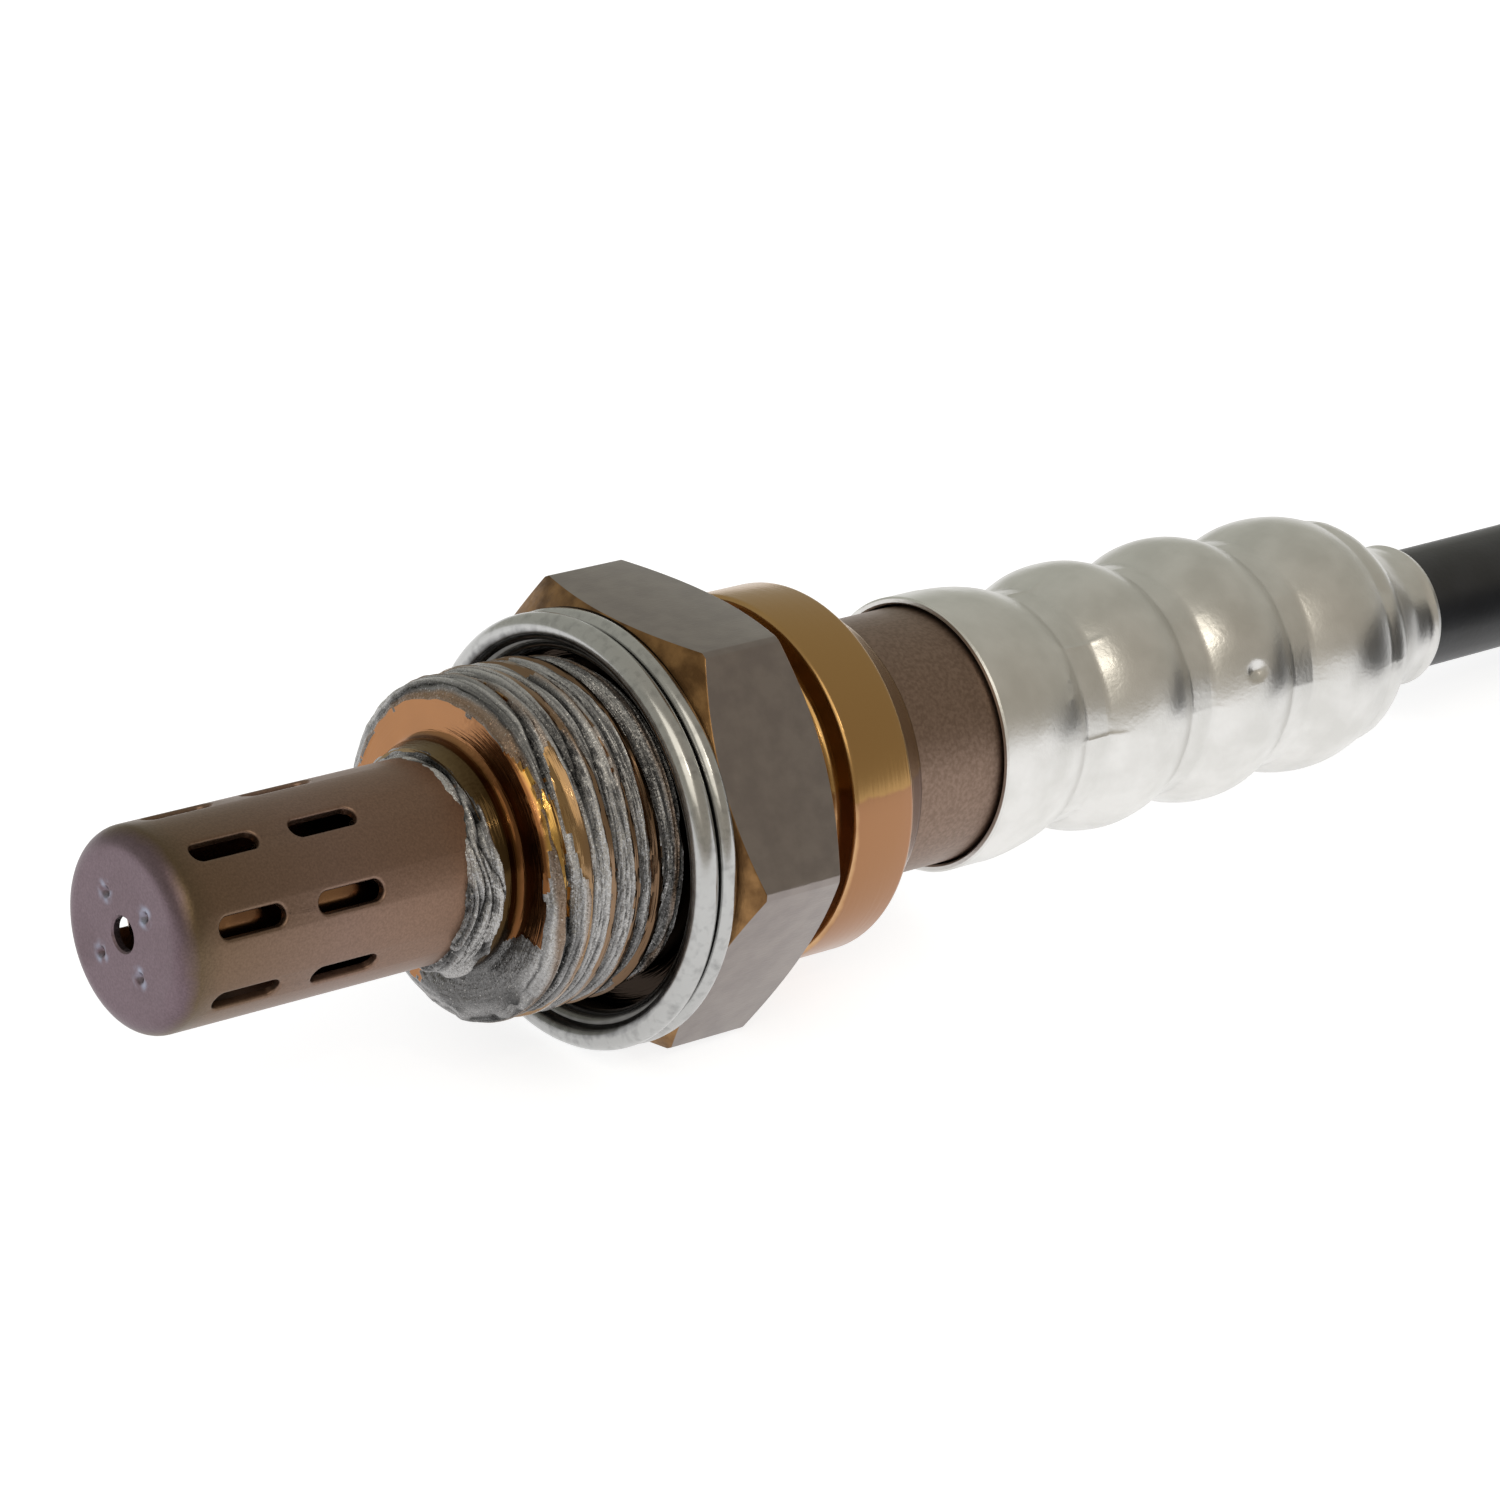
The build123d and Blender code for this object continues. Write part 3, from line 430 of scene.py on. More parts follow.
for vertex in shank.data.vertices:
    way, station, radius = whereabouts(vertex)
    smear = near(way, smear_way, smear_reach)
    on_thread = thread_front - 0.001 < station < neck_front + 0.05
    if on_thread and radius > tip_radius - 0.01:
        # metal: the thread between its lead-in cone and its run-out
        metal = thread_radius - thread_depth * (1 - tooth(way, station))
        cone = tip_radius + (station - thread_front) * (thread_radius - tip_radius) / lead_in
        run_out = neck_radius + max(0.0, thread_rear - station) * run_out_slope
        metal = min(metal, cone, run_out)
        # paste: torn layers that run round with the turns, over a soft fill of the roots
        drift = 0.45 * wave(way, station, 9.0, 6.0, 3.0)
        layer = min(1.0, 4.5 * abs(wave(way, station + drift, 22.0, 0.75)))
        shred = min(1.0, 4.0 * abs(wave(way, station + drift, 12.0, 0.27, 9.0)))
        crumb = wave(way, station, 1.2, 0.16, 5.0)
        level = paste_fill + paste_over_crest * tooth(way, station) + paste_layer * sqrt(layer)
        level += paste_shred * shred + paste_crumb * crumb
        level += paste_swell * wave(way, station, 9.0, 3.0, 12.0)
        level -= paste_thinning * max(0.0, station - paste_thins_from)
        # at the front it tapers to a ragged edge, which the smear pushes outwards
        edge = cone + paste_lip + smear_push * smear + 0.16 * wave(way, 0, 1.1, 1, 7.0)
        edge += smear * 0.35 * wave(way, station, 0.7, 0.8, 11.0)
        edge += smear * 0.45 * wave(way, station, 2.5, 2.0, 3.0)
        level = min(level, edge + max(0.0, station - thread_front))
        bare = 0.0
        for degrees, width, middle, reach, share, fade, torn in wipes:
            along = max(0.0, 1 - abs(station - middle) / reach) ** fade
            wiped = share * near(way, degrees, width) * along
            bare = max(bare, wiped * (0.5 + 0.5 * shred) if torn else wiped)
        level -= wipe_depth * bare
        crest = max(0.0, tooth(way, station) - 0.75)
        film[vertex.index] = crest * (2.6 + 3 * wave(way, station, 6.0, 0.9, 2.0))
        # painted shade: the paste is darker where its layers and shreds part
        shade[vertex.index] = min(layer, 0.35 + 0.65 * shred)
        shade[vertex.index] -= 0.4 * smear * near(way, smear_way, smear_core)
        covered[vertex.index] = level > metal + 0.015
        vertex.co.xy *= max(metal, level) / radius
    elif root_front - 0.05 < station < thread_front + 0.001 and radius > spigot_radius:
        # end face: bare but for a smear below and a ragged fringe from the thread
        ragged = 0.45 * wave(way, radius, 2.4, 0.7, 2.0) + 0.3 * wave(way, radius, 0.7, 0.4, 4.0)
        outer = (radius - (tip_radius - paste_lip)) * 1.5 + 0.6 * ragged
        low_side = (smear - 0.3) * 2.2 - max(0.0, smear_inner - radius) * 0.7 + 0.8 * ragged
        over = smear_height * min(1.0, max(0.0, low_side, outer))
        covered[vertex.index] = over > thinnest
        if over > thinnest:
            vertex.co.z -= (over * 0.9 + 0.02 * wave(way, radius, 0.9, 0.4)) * MM
            shade[vertex.index] = 0.4


def lathe_marks(tree, across, pitch):
    """Vector that changes across the tool's lines, which have a pitch in mm, and slowly round
    the axis: across is how many times in a radian."""
    parts = node(tree, "SeparateXYZ", {"Vector": along_axis(tree)}).outputs
    round_axis = node(tree, "CombineXYZ", {"Y": parts["Y"], "Z": parts["Z"]}).outputs["Vector"]
    radius = node(tree, "VectorMath", {0: round_axis}, operation="LENGTH").outputs["Value"]
    facing = node(tree, "VectorMath", {0: round_axis}, operation="NORMALIZE").outputs["Vector"]
    sideways = node(tree, "VectorMath", {0: facing, "Scale": across}, operation="SCALE")
    station = node(tree, "Math", {0: parts["X"], 1: radius}, operation="ADD").outputs["Value"]
    fast = node(tree, "Math", {0: station, 1: 1 / (pitch * MM)}, operation="MULTIPLY")
    first = node(tree, "CombineXYZ", {"X": fast.outputs["Value"]}).outputs["Vector"]
    return node(tree, "VectorMath", {0: first, 1: sideways.outputs["Vector"]},
                operation="ADD").outputs["Vector"]


def lathe_relief(material, pitch, depth, across=3):
    """Fine turned lines with a pitch and a depth in mm."""
    tree, shader = inside(material)
    marks = node(tree, "TexNoise", {"Vector": lathe_marks(tree, across, pitch), "Scale": 1.0,
                                    "Detail": 2.0})
    bump = node(tree, "Bump", {"Height": marks.outputs["Fac"], "Distance": depth * MM})
    tree.links.new(bump.outputs["Normal"], shader.inputs["Normal"])


# stainless, turned and heated: polished by the tool to a near mirror, in fine rings that stretch
# each gleam round the axis. Olive on the spigot, copper on the end face and gold in the lead-in. The
# spigot and its root fillet are painted darker, and the rear under the gasket brown to black:
# painted shade. One side of the end face is painted darker in streaks: painted shade.
shade_streak_pitch, shade_streak_reach = 0.3, 3.0
painted_shade_full, painted_shade_gone = -2.2, 1.2
copper = finish("stainless_turned_copper_tint", metallic=1.0, roughness=0.15)
lathe_relief(copper, pitch=0.12, depth=0.022)
tree, shader = inside(copper)
# the darker stops on the spigot and its root fillet, and the dark ones at the rear under the gasket,
# are painted shade
station_tint = tint_by_station(tree, spigot_front, thread_rear,
                 [(0.0, "#736145"), (0.10, "#5c4a30"), (0.15, "#6d4c2b"), (0.172, "#9c6f4b"),
                  (0.195, "#a5754e"), (0.225, "#c29a52"), (0.32, "#9a7a50"), (0.45, "#8c735c"),
                  (0.9, "#6f5844"), (0.97, "#33271d"), (1.0, "#2a2018")],
                 patch=2.0, wander=0.03)
# painted shade: the end face and spigot are darkened in streaks on their -Y side
place = node(tree, "SeparateXYZ", {"Vector": along_axis(tree)}).outputs
shade_streaks = node(tree, "TexNoise", {"Vector": lathe_marks(tree, 40, shade_streak_pitch), "Scale": 1.0,
                                  "Detail": 3.0})
side = node(tree, "Math", {0: shade_streaks.outputs["Fac"], 1: shade_streak_reach * MM, 2: place["Y"]},
            operation="MULTIPLY_ADD")
side = node(tree, "MapRange", {"Value": side.outputs[0], "From Min": painted_shade_full * MM,
                               "From Max": painted_shade_gone * MM})
front = node(tree, "MapRange", {"Value": place["X"], "From Min": (thread_front + 0.2) * MM,
                                "From Max": (thread_front + 0.1) * MM})
painted_shade_share = node(tree, "Math", {0: 1.0, 1: side.outputs["Result"]}, operation="SUBTRACT")
painted_shade_share = node(tree, "Math", {0: painted_shade_share.outputs[0], 1: front.outputs["Result"]}, operation="MULTIPLY")
painted_shade_face = node(tree, "Mix", {0: painted_shade_share.outputs[0], 6: station_tint, 7: linear("#b0a698")},
               data_type="RGBA", blend_type="MULTIPLY")
tree.links.new(painted_shade_face.outputs[2], shader.inputs["Base Color"])

# grease full of metal flakes, smeared by hand and combed by the thread: dry grey, painted darker in
# its crevices as painted shade and paler on its crests as painted light, with a brown skin where it
# is rubbed down on the metal. The flakes are a few hundredths of a millimetre, and are drawn at 0.07
# to 0.08 mm so that they glint.
flake_grit, flake_size = 0.07, 0.08
comb_pitch = 0.16
paste = finish("anti_seize_paste_metal_flake", metallic=0.8, roughness=0.45)
tree, shader = inside(paste)
streaks = node(tree, "TexNoise", {"Vector": lathe_marks(tree, 4, comb_pitch), "Scale": 1.0,
                                  "Detail": 3.0, "Roughness": 0.6})
grit = node(tree, "TexNoise", {"Vector": along_axis(tree), "Scale": 1 / (flake_grit * MM),
                               "Detail": 2.0})
# its tint goes by height, darker in the crevices as painted shade and paler on the crests as painted
# light, broken up by the comb's streaks and by grit
crevice_shade = node(tree, "Attribute", attribute_name="height")
blend = node(tree, "Math", {0: streaks.outputs["Fac"], 1: 0.45, 2: crevice_shade.outputs["Fac"]},
             operation="MULTIPLY_ADD")
blend = node(tree, "Math", {0: grit.outputs["Fac"], 1: 0.3, 2: blend.outputs[0]},
             operation="MULTIPLY_ADD")
blend = node(tree, "Math", {0: blend.outputs[0], 1: 0.55}, operation="MULTIPLY")
tint = node(tree, "ValToRGB", {"Fac": blend.outputs[0]},
            [(0.22, "#1e1e1e"), (0.42, "#6b6a6a"), (0.66, "#a2a1a1"), (0.95, "#d2d0ce")])
rubbed = node(tree, "Attribute", attribute_name="film")
tint = node(tree, "Mix", {0: rubbed.outputs["Fac"], 6: tint.outputs["Color"], 7: linear("#8f7660")},
            data_type="RGBA")
sparks = node(tree, "TexVoronoi", {"Vector": along_axis(tree), "Scale": 1 / (flake_grit * MM)})
spark = node(tree, "MapRange", {"Value": sparks.outputs["Color"], "From Min": 0.84, "From Max": 1.0,
                                "To Max": 0.8})
tint = node(tree, "Mix", {0: spark.outputs["Result"], 6: tint.outputs[2], 7: linear("#d8d6d2")},
            data_type="RGBA")
tree.links.new(tint.outputs[2], shader.inputs["Base Color"])
fine = node(tree, "Bump", {"Height": grit.outputs["Fac"], "Distance": 0.014 * MM})
bump = node(tree, "Bump", {"Height": streaks.outputs["Fac"], "Distance": 0.06 * MM,
                           "Normal": fine.outputs["Normal"]})
# each flake lies at a lean of its own, and is smoother or duller than the next
flakes = node(tree, "TexVoronoi", {"Vector": along_axis(tree), "Scale": 1 / (flake_size * MM)})
lean = node(tree, "VectorMath", {0: flakes.outputs["Color"], 1: (0.5, 0.5, 0.5)},
            operation="SUBTRACT")
lean = node(tree, "VectorMath", {0: lean.outputs["Vector"], "Scale": 0.6}, operation="SCALE")
lean = node(tree, "VectorMath", {0: lean.outputs["Vector"], 1: bump.outputs["Normal"]},
            operation="ADD")
lean = node(tree, "VectorMath", {0: lean.outputs["Vector"]}, operation="NORMALIZE")
tree.links.new(lean.outputs["Vector"], shader.inputs["Normal"])
glitter = node(tree, "MapRange", {"Value": flakes.outputs["Color"], "From Min": 0.15,
                                  "From Max": 0.85, "To Min": 0.18, "To Max": 0.62})
tree.links.new(glitter.outputs["Result"], shader.inputs["Roughness"])


def keep(piece, name, values, plain):
    """Stores a value at each point: height is 0 in a crevice of the paste and 1 on its crests, and
    darkens the crevices as painted shade; film is 1 where the paste is rubbed down to a brown skin
    on a thread crest."""
    kept = piece.data.attributes.new(name, "FLOAT", "POINT")
    for vertex in piece.data.vertices:
        kept.data[vertex.index].value = max(0.0, min(1.0, values.get(vertex.index, plain)))


keep(shank, "height", shade, 0.8)
keep(shank, "film", film, 0.0)
shank.data.materials.append(copper)
shank.data.materials.append(paste)
for face in shank.data.polygons:
    face.material_index = int(sum(covered.get(i, False) for i in face.vertices) > 2)

# ---------------------------------------------------------------- housing: hexagon
# The same bar, milled to six 22 mm flats between two turned chamfers.
# The flats are a fine-grained grey-brown, the chamfers mottled gold with tool marks.
hex_flats, hex_length = 22.0, 6.9
hex_corner, hex_face = 12.6, 10.9
hex_chamfer = (hex_corner - hex_face) * tan(radians(30))
hex_edge = 0.14                 # its sharp edges are broken by this much
packing_bore, element_shoulder = 6.0, 1.4
blank = turn("hexagon", [(0, element_bore), (0, hex_face), (hex_chamfer, hex_corner),
                         (hex_length - hex_chamfer, hex_corner), (hex_length, hex_face),
                         (hex_length, packing_bore), (element_shoulder, packing_bore),
                         (element_shoulder, element_bore)], 240)
bpy.ops.mesh.primitive_cylinder_add(vertices=6, radius=hex_flats / sqrt(3) * MM,
                                    depth=3 * hex_length * MM, rotation=(0, 0, radians(30)),
                                    location=(0, 0, hex_length / 2 * MM))
cutter = bpy.context.object
apply_modifier(blank, "BOOLEAN", operation="INTERSECT", object=cutter, solver="EXACT")
bpy.data.objects.remove(cutter)
apply_modifier(blank, "BEVEL", width=hex_edge * MM, segments=3, limit_method="ANGLE",
               angle_limit=radians(18))

# stainless, milled: fine marks across each flat make it a soft grey-brown sheen, not a mirror
mill_mark, mill_depth = 0.5, 0.010
flats = finish("stainless_milled_grey_brown", metallic=1.0, roughness=0.3,
               dark="#867e7b", light="#8f8783", patch=1.2)
tree, shader = inside(flats)
milled = node(tree, "Mapping", {"Vector": along_axis(tree), "Scale": (1, 4, 4)})
scratch = node(tree, "TexNoise", {"Vector": milled.outputs["Vector"],
                                  "Scale": 1 / (mill_mark * MM), "Detail": 3.0})
bump = node(tree, "Bump", {"Height": scratch.outputs["Fac"], "Distance": mill_depth * MM})
tree.links.new(bump.outputs["Normal"], shader.inputs["Normal"])
# stainless, turned and heated: mottled old gold, its tool marks broken into short dull strokes
gold = finish("stainless_turned_gold_tint", metallic=1.0, roughness=0.34,
              dark="#664b30", light="#94714a", patch=1.3)
lathe_relief(gold, pitch=0.25, depth=0.02, across=25)
blank.data.materials.append(flats)
blank.data.materials.append(gold)
blank.data.materials.append(copper)
for face in blank.data.polygons:
    # the sealing face is copper like the shank, and whatever slopes is a gold chamfer
    under_gasket = face.center.z < 0.05 * MM and face.normal.z < -0.9
    face.material_index = 2 if under_gasket else int(abs(face.normal.z) > 0.35)

# ---------------------------------------------------------------- housing: collar
# A relief groove and a turned collar, whose thin rim is rolled down over the shell's flange.
# Heat has left it copper, with a worn pale rear edge; above a sharp line it is painted olive gold as
# a painted reflection of the grey room, and its front edge carries a painted highlight.
groove_radius, collar_radius, lip_radius = 8.5, 9.95, 8.05
collar_front, collar_rear, lip_rear = 9.3, 13.5, 15.6
groove_front_round, groove_rear_round = 0.3, 0.4
front_round, rear_round, lip_round = 0.3, 0.45, 0.22
shell_bore, rim_bore = 7.07, 8.2
rim_bore_front, rim_bore_rear = 13.0, 14.5
collar_outline = ([(hex_length, packing_bore), (hex_length, groove_radius + groove_front_round)]
                  + arc(hex_length + groove_front_round, groove_radius + groove_front_round,
                        groove_front_round, 180, 270, 3)[1:]
                  + arc(collar_front - groove_rear_round, groove_radius + groove_rear_round,
                        groove_rear_round, 270, 360, 4)
                  + arc(collar_front + front_round, collar_radius - front_round,
                        front_round, 180, 90, 5)
                  + arc(collar_rear - rear_round, collar_radius - rear_round,
                        rear_round, 90, 35, 5)
                  + run((collar_rear - 0.08, collar_radius - 0.19),
                        (lip_rear - 0.25, lip_radius + 0.2), 0.6)
                  + arc(lip_rear - lip_round, lip_radius - 0.05, lip_round, 50, -60, 5)
                  + [(lip_rear - 0.35, shell_bore), (rim_bore_rear, shell_bore),
                     (rim_bore_rear, rim_bore), (rim_bore_front, rim_bore),
                     (rim_bore_front, packing_bore)])
collar = turn("collar", collar_outline, 256)
# stainless, turned and heated: a satin copper with fine rings. The front edge is a painted highlight
# line, the rear edge is rubbed pale, and what lies above a level line is painted a duller olive
# gold, a painted reflection of the grey room.
collar_patch = 1.43
reflection_line_low, reflection_line_high, reflection_line_wander = 2.75, 2.95, 0.9
collar_copper = finish("stainless_turned_copper_collar", metallic=1.0, roughness=0.24)
lathe_relief(collar_copper, pitch=0.2, depth=0.012)
tree, shader = inside(collar_copper)
# the bright stop at the collar's front edge is a painted highlight
station_tint = tint_by_station(tree, hex_length, lip_rear,
                 [(0.0, "#5d4130"), (0.25, "#75502f"), (0.275, "#d4ac80"), (0.31, "#9e7454"),
                  (0.6, "#a07656"), (0.74, "#a2785a"), (0.76, "#d8c0a6"), (0.79, "#907466"),
                  (1.0, "#9c8478")],
                 patch=collar_patch, wander=0.05, detail=4.0)
# painted reflection: above a wavy level line the collar is painted olive gold
place = node(tree, "SeparateXYZ", {"Vector": along_axis(tree)}).outputs
patches = node(tree, "TexNoise", {"Vector": along_axis(tree), "Scale": 1 / (collar_patch * MM),
                                  "Detail": 4.0})
level = node(tree, "Math", {0: patches.outputs["Fac"], 1: reflection_line_wander * MM, 2: place["Z"]},
             operation="MULTIPLY_ADD")
side = node(tree, "MapRange", {"Value": level.outputs[0], "From Min": reflection_line_low * MM,
                               "From Max": reflection_line_high * MM, "To Max": 0.85})
painted_olive_reflection = node(tree, "Mix", {0: side.outputs["Result"], 6: station_tint, 7: linear("#ae8b58")},
             data_type="RGBA")
tree.links.new(painted_olive_reflection.outputs[2], shader.inputs["Base Color"])
collar.data.materials.append(collar_copper)
join(shank, blank, collar)
mount_piece(shank, None, ["housing"], smooth=28)

# ---------------------------------------------------------------- paste at the tube's root
# The same paste, squeezed out round the foot of the protection tube when it was brushed on.
# It stands there as an uneven torn ring, thickest below.
ring_front, ring_rear = -13.6, -10.3
ring_base, ring_bore = tube_radius - 0.05, tube_radius - 0.2
heap_front, heap_rear = -11.62, -10.95
heap_way, heap_reach = 205, 75  # the thickest side, as an angle and a half width
sunk = 0.06                     # how deep its thin edge is pressed on the metal
rim_slope = (spigot_radius - spigot_rim) / spigot_rim_length
ring_outline = ([(ring_front, ring_base)]
                + run((ring_front, ring_base), (ring_rear, ring_base), 0.06)
                + [(ring_rear, ring_bore), (ring_front, ring_bore)])
paste_ring = turn("paste_ring", ring_outline, 400)
shade = {}
for vertex in paste_ring.data.vertices:
    way, station, radius = whereabouts(vertex)
    if radius > ring_base - 0.05:
        # the metal under it is the tube, then the spigot's rolled rim
        rim = tube_radius
        if station > spigot_front:
            rim = spigot_rim + (station - spigot_front) * rim_slope
        heap = near(way, heap_way, heap_reach)
        front = heap_front - heap - 0.35 * wave(way, 0, 3.0, 1, 1.0)
        front -= 0.12 * wave(way, 0, 0.6, 1, 6.0)
        rear = heap_rear + 0.25 * heap + 0.35 * wave(way, 1, 2.5, 1, 8.0)
        full = max(0.0, min((station - front) * 5, (rear - station) * 5, 1.0))
        drift = 0.6 * wave(way, 0, 6, 1, 2.0)
        ripple = min(1.0, 4 * abs(wave(way, station + drift, 9.0, 0.35, 4.0)))
        body = 0.06 + 0.28 * heap + 0.26 * ripple * (0.4 + heap)
        body += 0.015 * wave(way, station, 0.7, 0.2)
        # painted shade: the paste is darker between its ripples
        shade[vertex.index] = ripple
        vertex.co.xy *= max(rim - sunk + body * sqrt(full), radius) / radius
keep(paste_ring, "height", shade, 0.8)
mount_piece(paste_ring, paste, smooth=60)

# ---------------------------------------------------------------- packing of the element
# A steel washer, pressed talc, a ceramic bush and a steel ring hold the thimble gas-tight.
# talc, pressed hard: a dusty, quite dull grey-white, granular where it broke
talc = finish("talc_pressed", metallic=0.0, roughness=0.8,
              dark="#b9b6ac", light="#cfccc2", patch=0.8, relief=0.01, grain=0.1)
# spring steel, punched from strip: mid grey with a rolled sheen and no plating
spring_steel = finish("spring_steel_punched", metallic=1.0, roughness=0.35,
                      dark="#8d8a86", light="#a3a09b", patch=1.5, relief=0.003, grain=0.1)
dress(talc, "talc_packing")
dress(spring_steel, "element_washer", "compression_ring")

# ---------------------------------------------------------------- sealing gasket
# Strip of zinc-plated steel folded three times and rolled into a ring that crushes when tightened.
# The plating is painted bright on its outer domes as a painted highlight, and painted darker towards
# its inner edge as painted shade.
half_strip = 0.25
hang, hang_way = 0.495, radians(240.33)     # the loose ring hangs off the axis, down on the neck
# its middle line: flat on the hexagon, a tight fold outwards, an open one inwards, a curled lip
rear_fold, middle_fold, front_curl = 0.28, 0.45, 0.46
strip_line = ([(-half_strip, 9.9), (-half_strip, 10.6)]
              + arc(-half_strip - rear_fold, 10.96, rear_fold, 0, 180, 10) + [(-0.81, 10.4)]
              + arc(-0.81 - middle_fold, 10.14, middle_fold, 0, -180, 14)
              + [(-1.73, 10.24)] + arc(-1.81, 10.77, front_curl, 220, 30, 14))


def offset_line(line, gap):
    """The same line, moved sideways by a gap."""
    moved = []
    for i, (station, radius) in enumerate(line):
        before, after = line[max(0, i - 1)], line[min(len(line) - 1, i + 1)]
        ahead = Vector((after[0] - before[0], after[1] - before[1])).normalized()
        moved.append((station - gap * ahead.y, radius + gap * ahead.x))
    return moved


gasket = turn("folded_gasket", offset_line(strip_line, half_strip)
              + offset_line(strip_line, -half_strip)[::-1], 256)
for vertex in gasket.data.vertices:
    vertex.co.x += hang * cos(hang_way) * MM
    vertex.co.y += hang * sin(hang_way) * MM
# zinc on rolled steel: soft silver with faint spangles, painted bright on the outer domes as a
# painted highlight and darker towards the inner edge as painted shade
gasket_shade_full, gasket_shade_gone = 9.7, 10.8
spangle_size = 0.6
zinc = finish("zinc_plated_steel_rolled", metallic=1.0, roughness=0.22, relief=0.002, grain=0.22)
tree, shader = inside(zinc)
place = node(tree, "SeparateXYZ", {"Vector": along_axis(tree)}).outputs
lift = node(tree, "Math", {0: place["Y"], 1: -hang * cos(hang_way) * MM}, operation="ADD")
drop = node(tree, "Math", {0: place["Z"], 1: -hang * sin(hang_way) * MM}, operation="ADD")
across = node(tree, "CombineXYZ", {"Y": lift.outputs[0], "Z": drop.outputs[0]}).outputs["Vector"]
radius = node(tree, "VectorMath", {0: across}, operation="LENGTH").outputs["Value"]
# painted shade and highlight: darker towards the inner edge, bright towards the outer domes
gasket_lit_share = node(tree, "MapRange", {"Value": radius, "From Min": gasket_shade_full * MM,
                                "From Max": gasket_shade_gone * MM})
spangle = node(tree, "TexNoise", {"Vector": along_axis(tree), "Scale": 1 / (spangle_size * MM),
                                  "Detail": 4.0})
gasket_lit_share = node(tree, "Math", {0: spangle.outputs["Fac"], 1: 0.5, 2: gasket_lit_share.outputs["Result"]},
             operation="MULTIPLY_ADD")
gasket_lit_share = node(tree, "Math", {0: gasket_lit_share.outputs[0], 1: 0.25}, operation="SUBTRACT")
tint = node(tree, "ValToRGB", {"Fac": gasket_lit_share.outputs[0]},
            [(0.0, "#71706d"), (0.5, "#4f4e4d"), (0.75, "#7d7d7d"), (1.0, "#b6b6b5")])
tree.links.new(tint.outputs["Color"], shader.inputs["Base Color"])
mount_piece(gasket, zinc, ["sealing_gasket"])

# ---------------------------------------------------------------- rear shell
# Deep-drawn stainless tube, held at the front by its flange under the collar's rolled rim.
# The sheath is crimped on it at the rear, and the heat of the exhaust has browned what shows.
shell_speck, shell_grain = 0.22, 0.14
# stainless, drawn and heated: a dark satin brown, evenly specked. Its grain is finer than a
# tenth of a millimetre, and is drawn at these sizes so that it shows.
shell_steel = finish("stainless_drawn_dark_tint", metallic=1.0, roughness=0.42, dark="#7b675a",
                     light="#8c776a", patch=shell_speck, relief=0.012, grain=shell_grain)
dress(shell_steel, "inner_shell")

# ---------------------------------------------------------------- crimped sheath
# Deep-drawn stainless sheath, pressed down on the shell and the grommet by jaws in four places,
# so that it swells into lobes between them. It is bare and matt, with the jaws' corner marks.
mouth, plain_rear, sheath_wall = 22.3, 24.6, 0.4
mouth_radius, crimp_radius = 7.57, 6.65
mouth_round = 0.1
first_floor = 29.05
bulges = [(33.9, 7.5), (41.9, 7.5), (49.9, 7.3)]
bulge_half = 3.15
bulge_crease = 0.07             # the metal is folded a little sharper in front of each lobe
fall_steps, bulge_steps = 18, 26
# the cone over the grommet, the neck on the lead, and the bead that the last jaws leave
tail = [(53.05, 6.65), (54.45, 6.35), (55.95, 5.2), (57.45, 4.4), (58.85, 4.08), (59.25, 4.02),
        (59.65, 4.14), (59.95, 4.02)]


def through(points, pitch):
    """Smooth line through points, in short steps; flat at both ends."""
    slopes = [0.0] + [(c[1] - a[1]) / (c[0] - a[0]) for a, c in zip(points, points[2:])] + [0.0]
    line = []
    for (x0, y0), (x1, y1), m0, m1 in zip(points, points[1:], slopes, slopes[1:]):
        count = max(2, round((x1 - x0) / pitch))
        for i in range(1, count + 1):
            t = i / count
            y = (y0 * (2 * t ** 3 - 3 * t * t + 1) + y1 * (3 * t * t - 2 * t ** 3)
                 + (x1 - x0) * (m0 * (t ** 3 - 2 * t * t + t) + m1 * (t ** 3 - t * t)))
            line.append((x0 + (x1 - x0) * t, y))
    return line


# both the fall behind the mouth and the lobes are round in outline
fall = mouth_radius - crimp_radius
throat = ((first_floor - plain_rear) ** 2 + fall ** 2) / (2 * fall)
mouth_front = (mouth + mouth_round, mouth_radius)
sheath_line = [mouth_front] + run(mouth_front, (plain_rear, mouth_radius), 0.25)
for i in range(1, fall_steps + 1):
    off = (first_floor - plain_rear) * i / fall_steps
    sheath_line.append((plain_rear + off, mouth_radius - throat + sqrt(throat ** 2 - off ** 2)))
floor_front = first_floor
for crest, height in bulges:
    sheath_line += run((floor_front, crimp_radius),
                       (crest - bulge_half, crimp_radius - bulge_crease), 0.2)
    rise = height - crimp_radius
    swell = (rise ** 2 + bulge_half ** 2) / (2 * rise)
    for i in range(1, bulge_steps + 1):
        off = bulge_half * (2 * i / bulge_steps - 1)
        crease = bulge_crease * (1 - i / bulge_steps) ** 3
        sheath_line.append((crest + off, height - swell + sqrt(swell ** 2 - off ** 2) - crease))
    floor_front = crest + bulge_half
sheath_line += through(tail, 0.2)
inner_line = [(s, r - sheath_wall) for s, r in reversed(sheath_line[::3])]
sheath = turn("crimped_sheath",
              sheath_line + [(tail[-1][0], tail[-1][1] - sheath_wall)] + inner_line
              + [(mouth, mouth_radius - sheath_wall + mouth_round),
                 (mouth, mouth_radius - mouth_round)], 360)
jaw_count, jaw_seam, jaw_reach = 8, 39, 1.8
jaw_floors = (30.1, 37.9, 45.9, 54.0)
jaw_flat, jaw_flat_reach = 0.05, 2.6    # how deep and how far each jaw flattens the round
jaw_step, jaw_edge = 0.035, 0.6         # the step at its ends, and how softly it runs out
seam_height, seam_share = 0.085, 0.07   # the seam takes this share of the way between two jaws
first_jaw_bite, other_jaw_bite = 0.6, 0.08
dent, dent_size = 0.035, 2.2            # soft unevenness of the drawn sheet
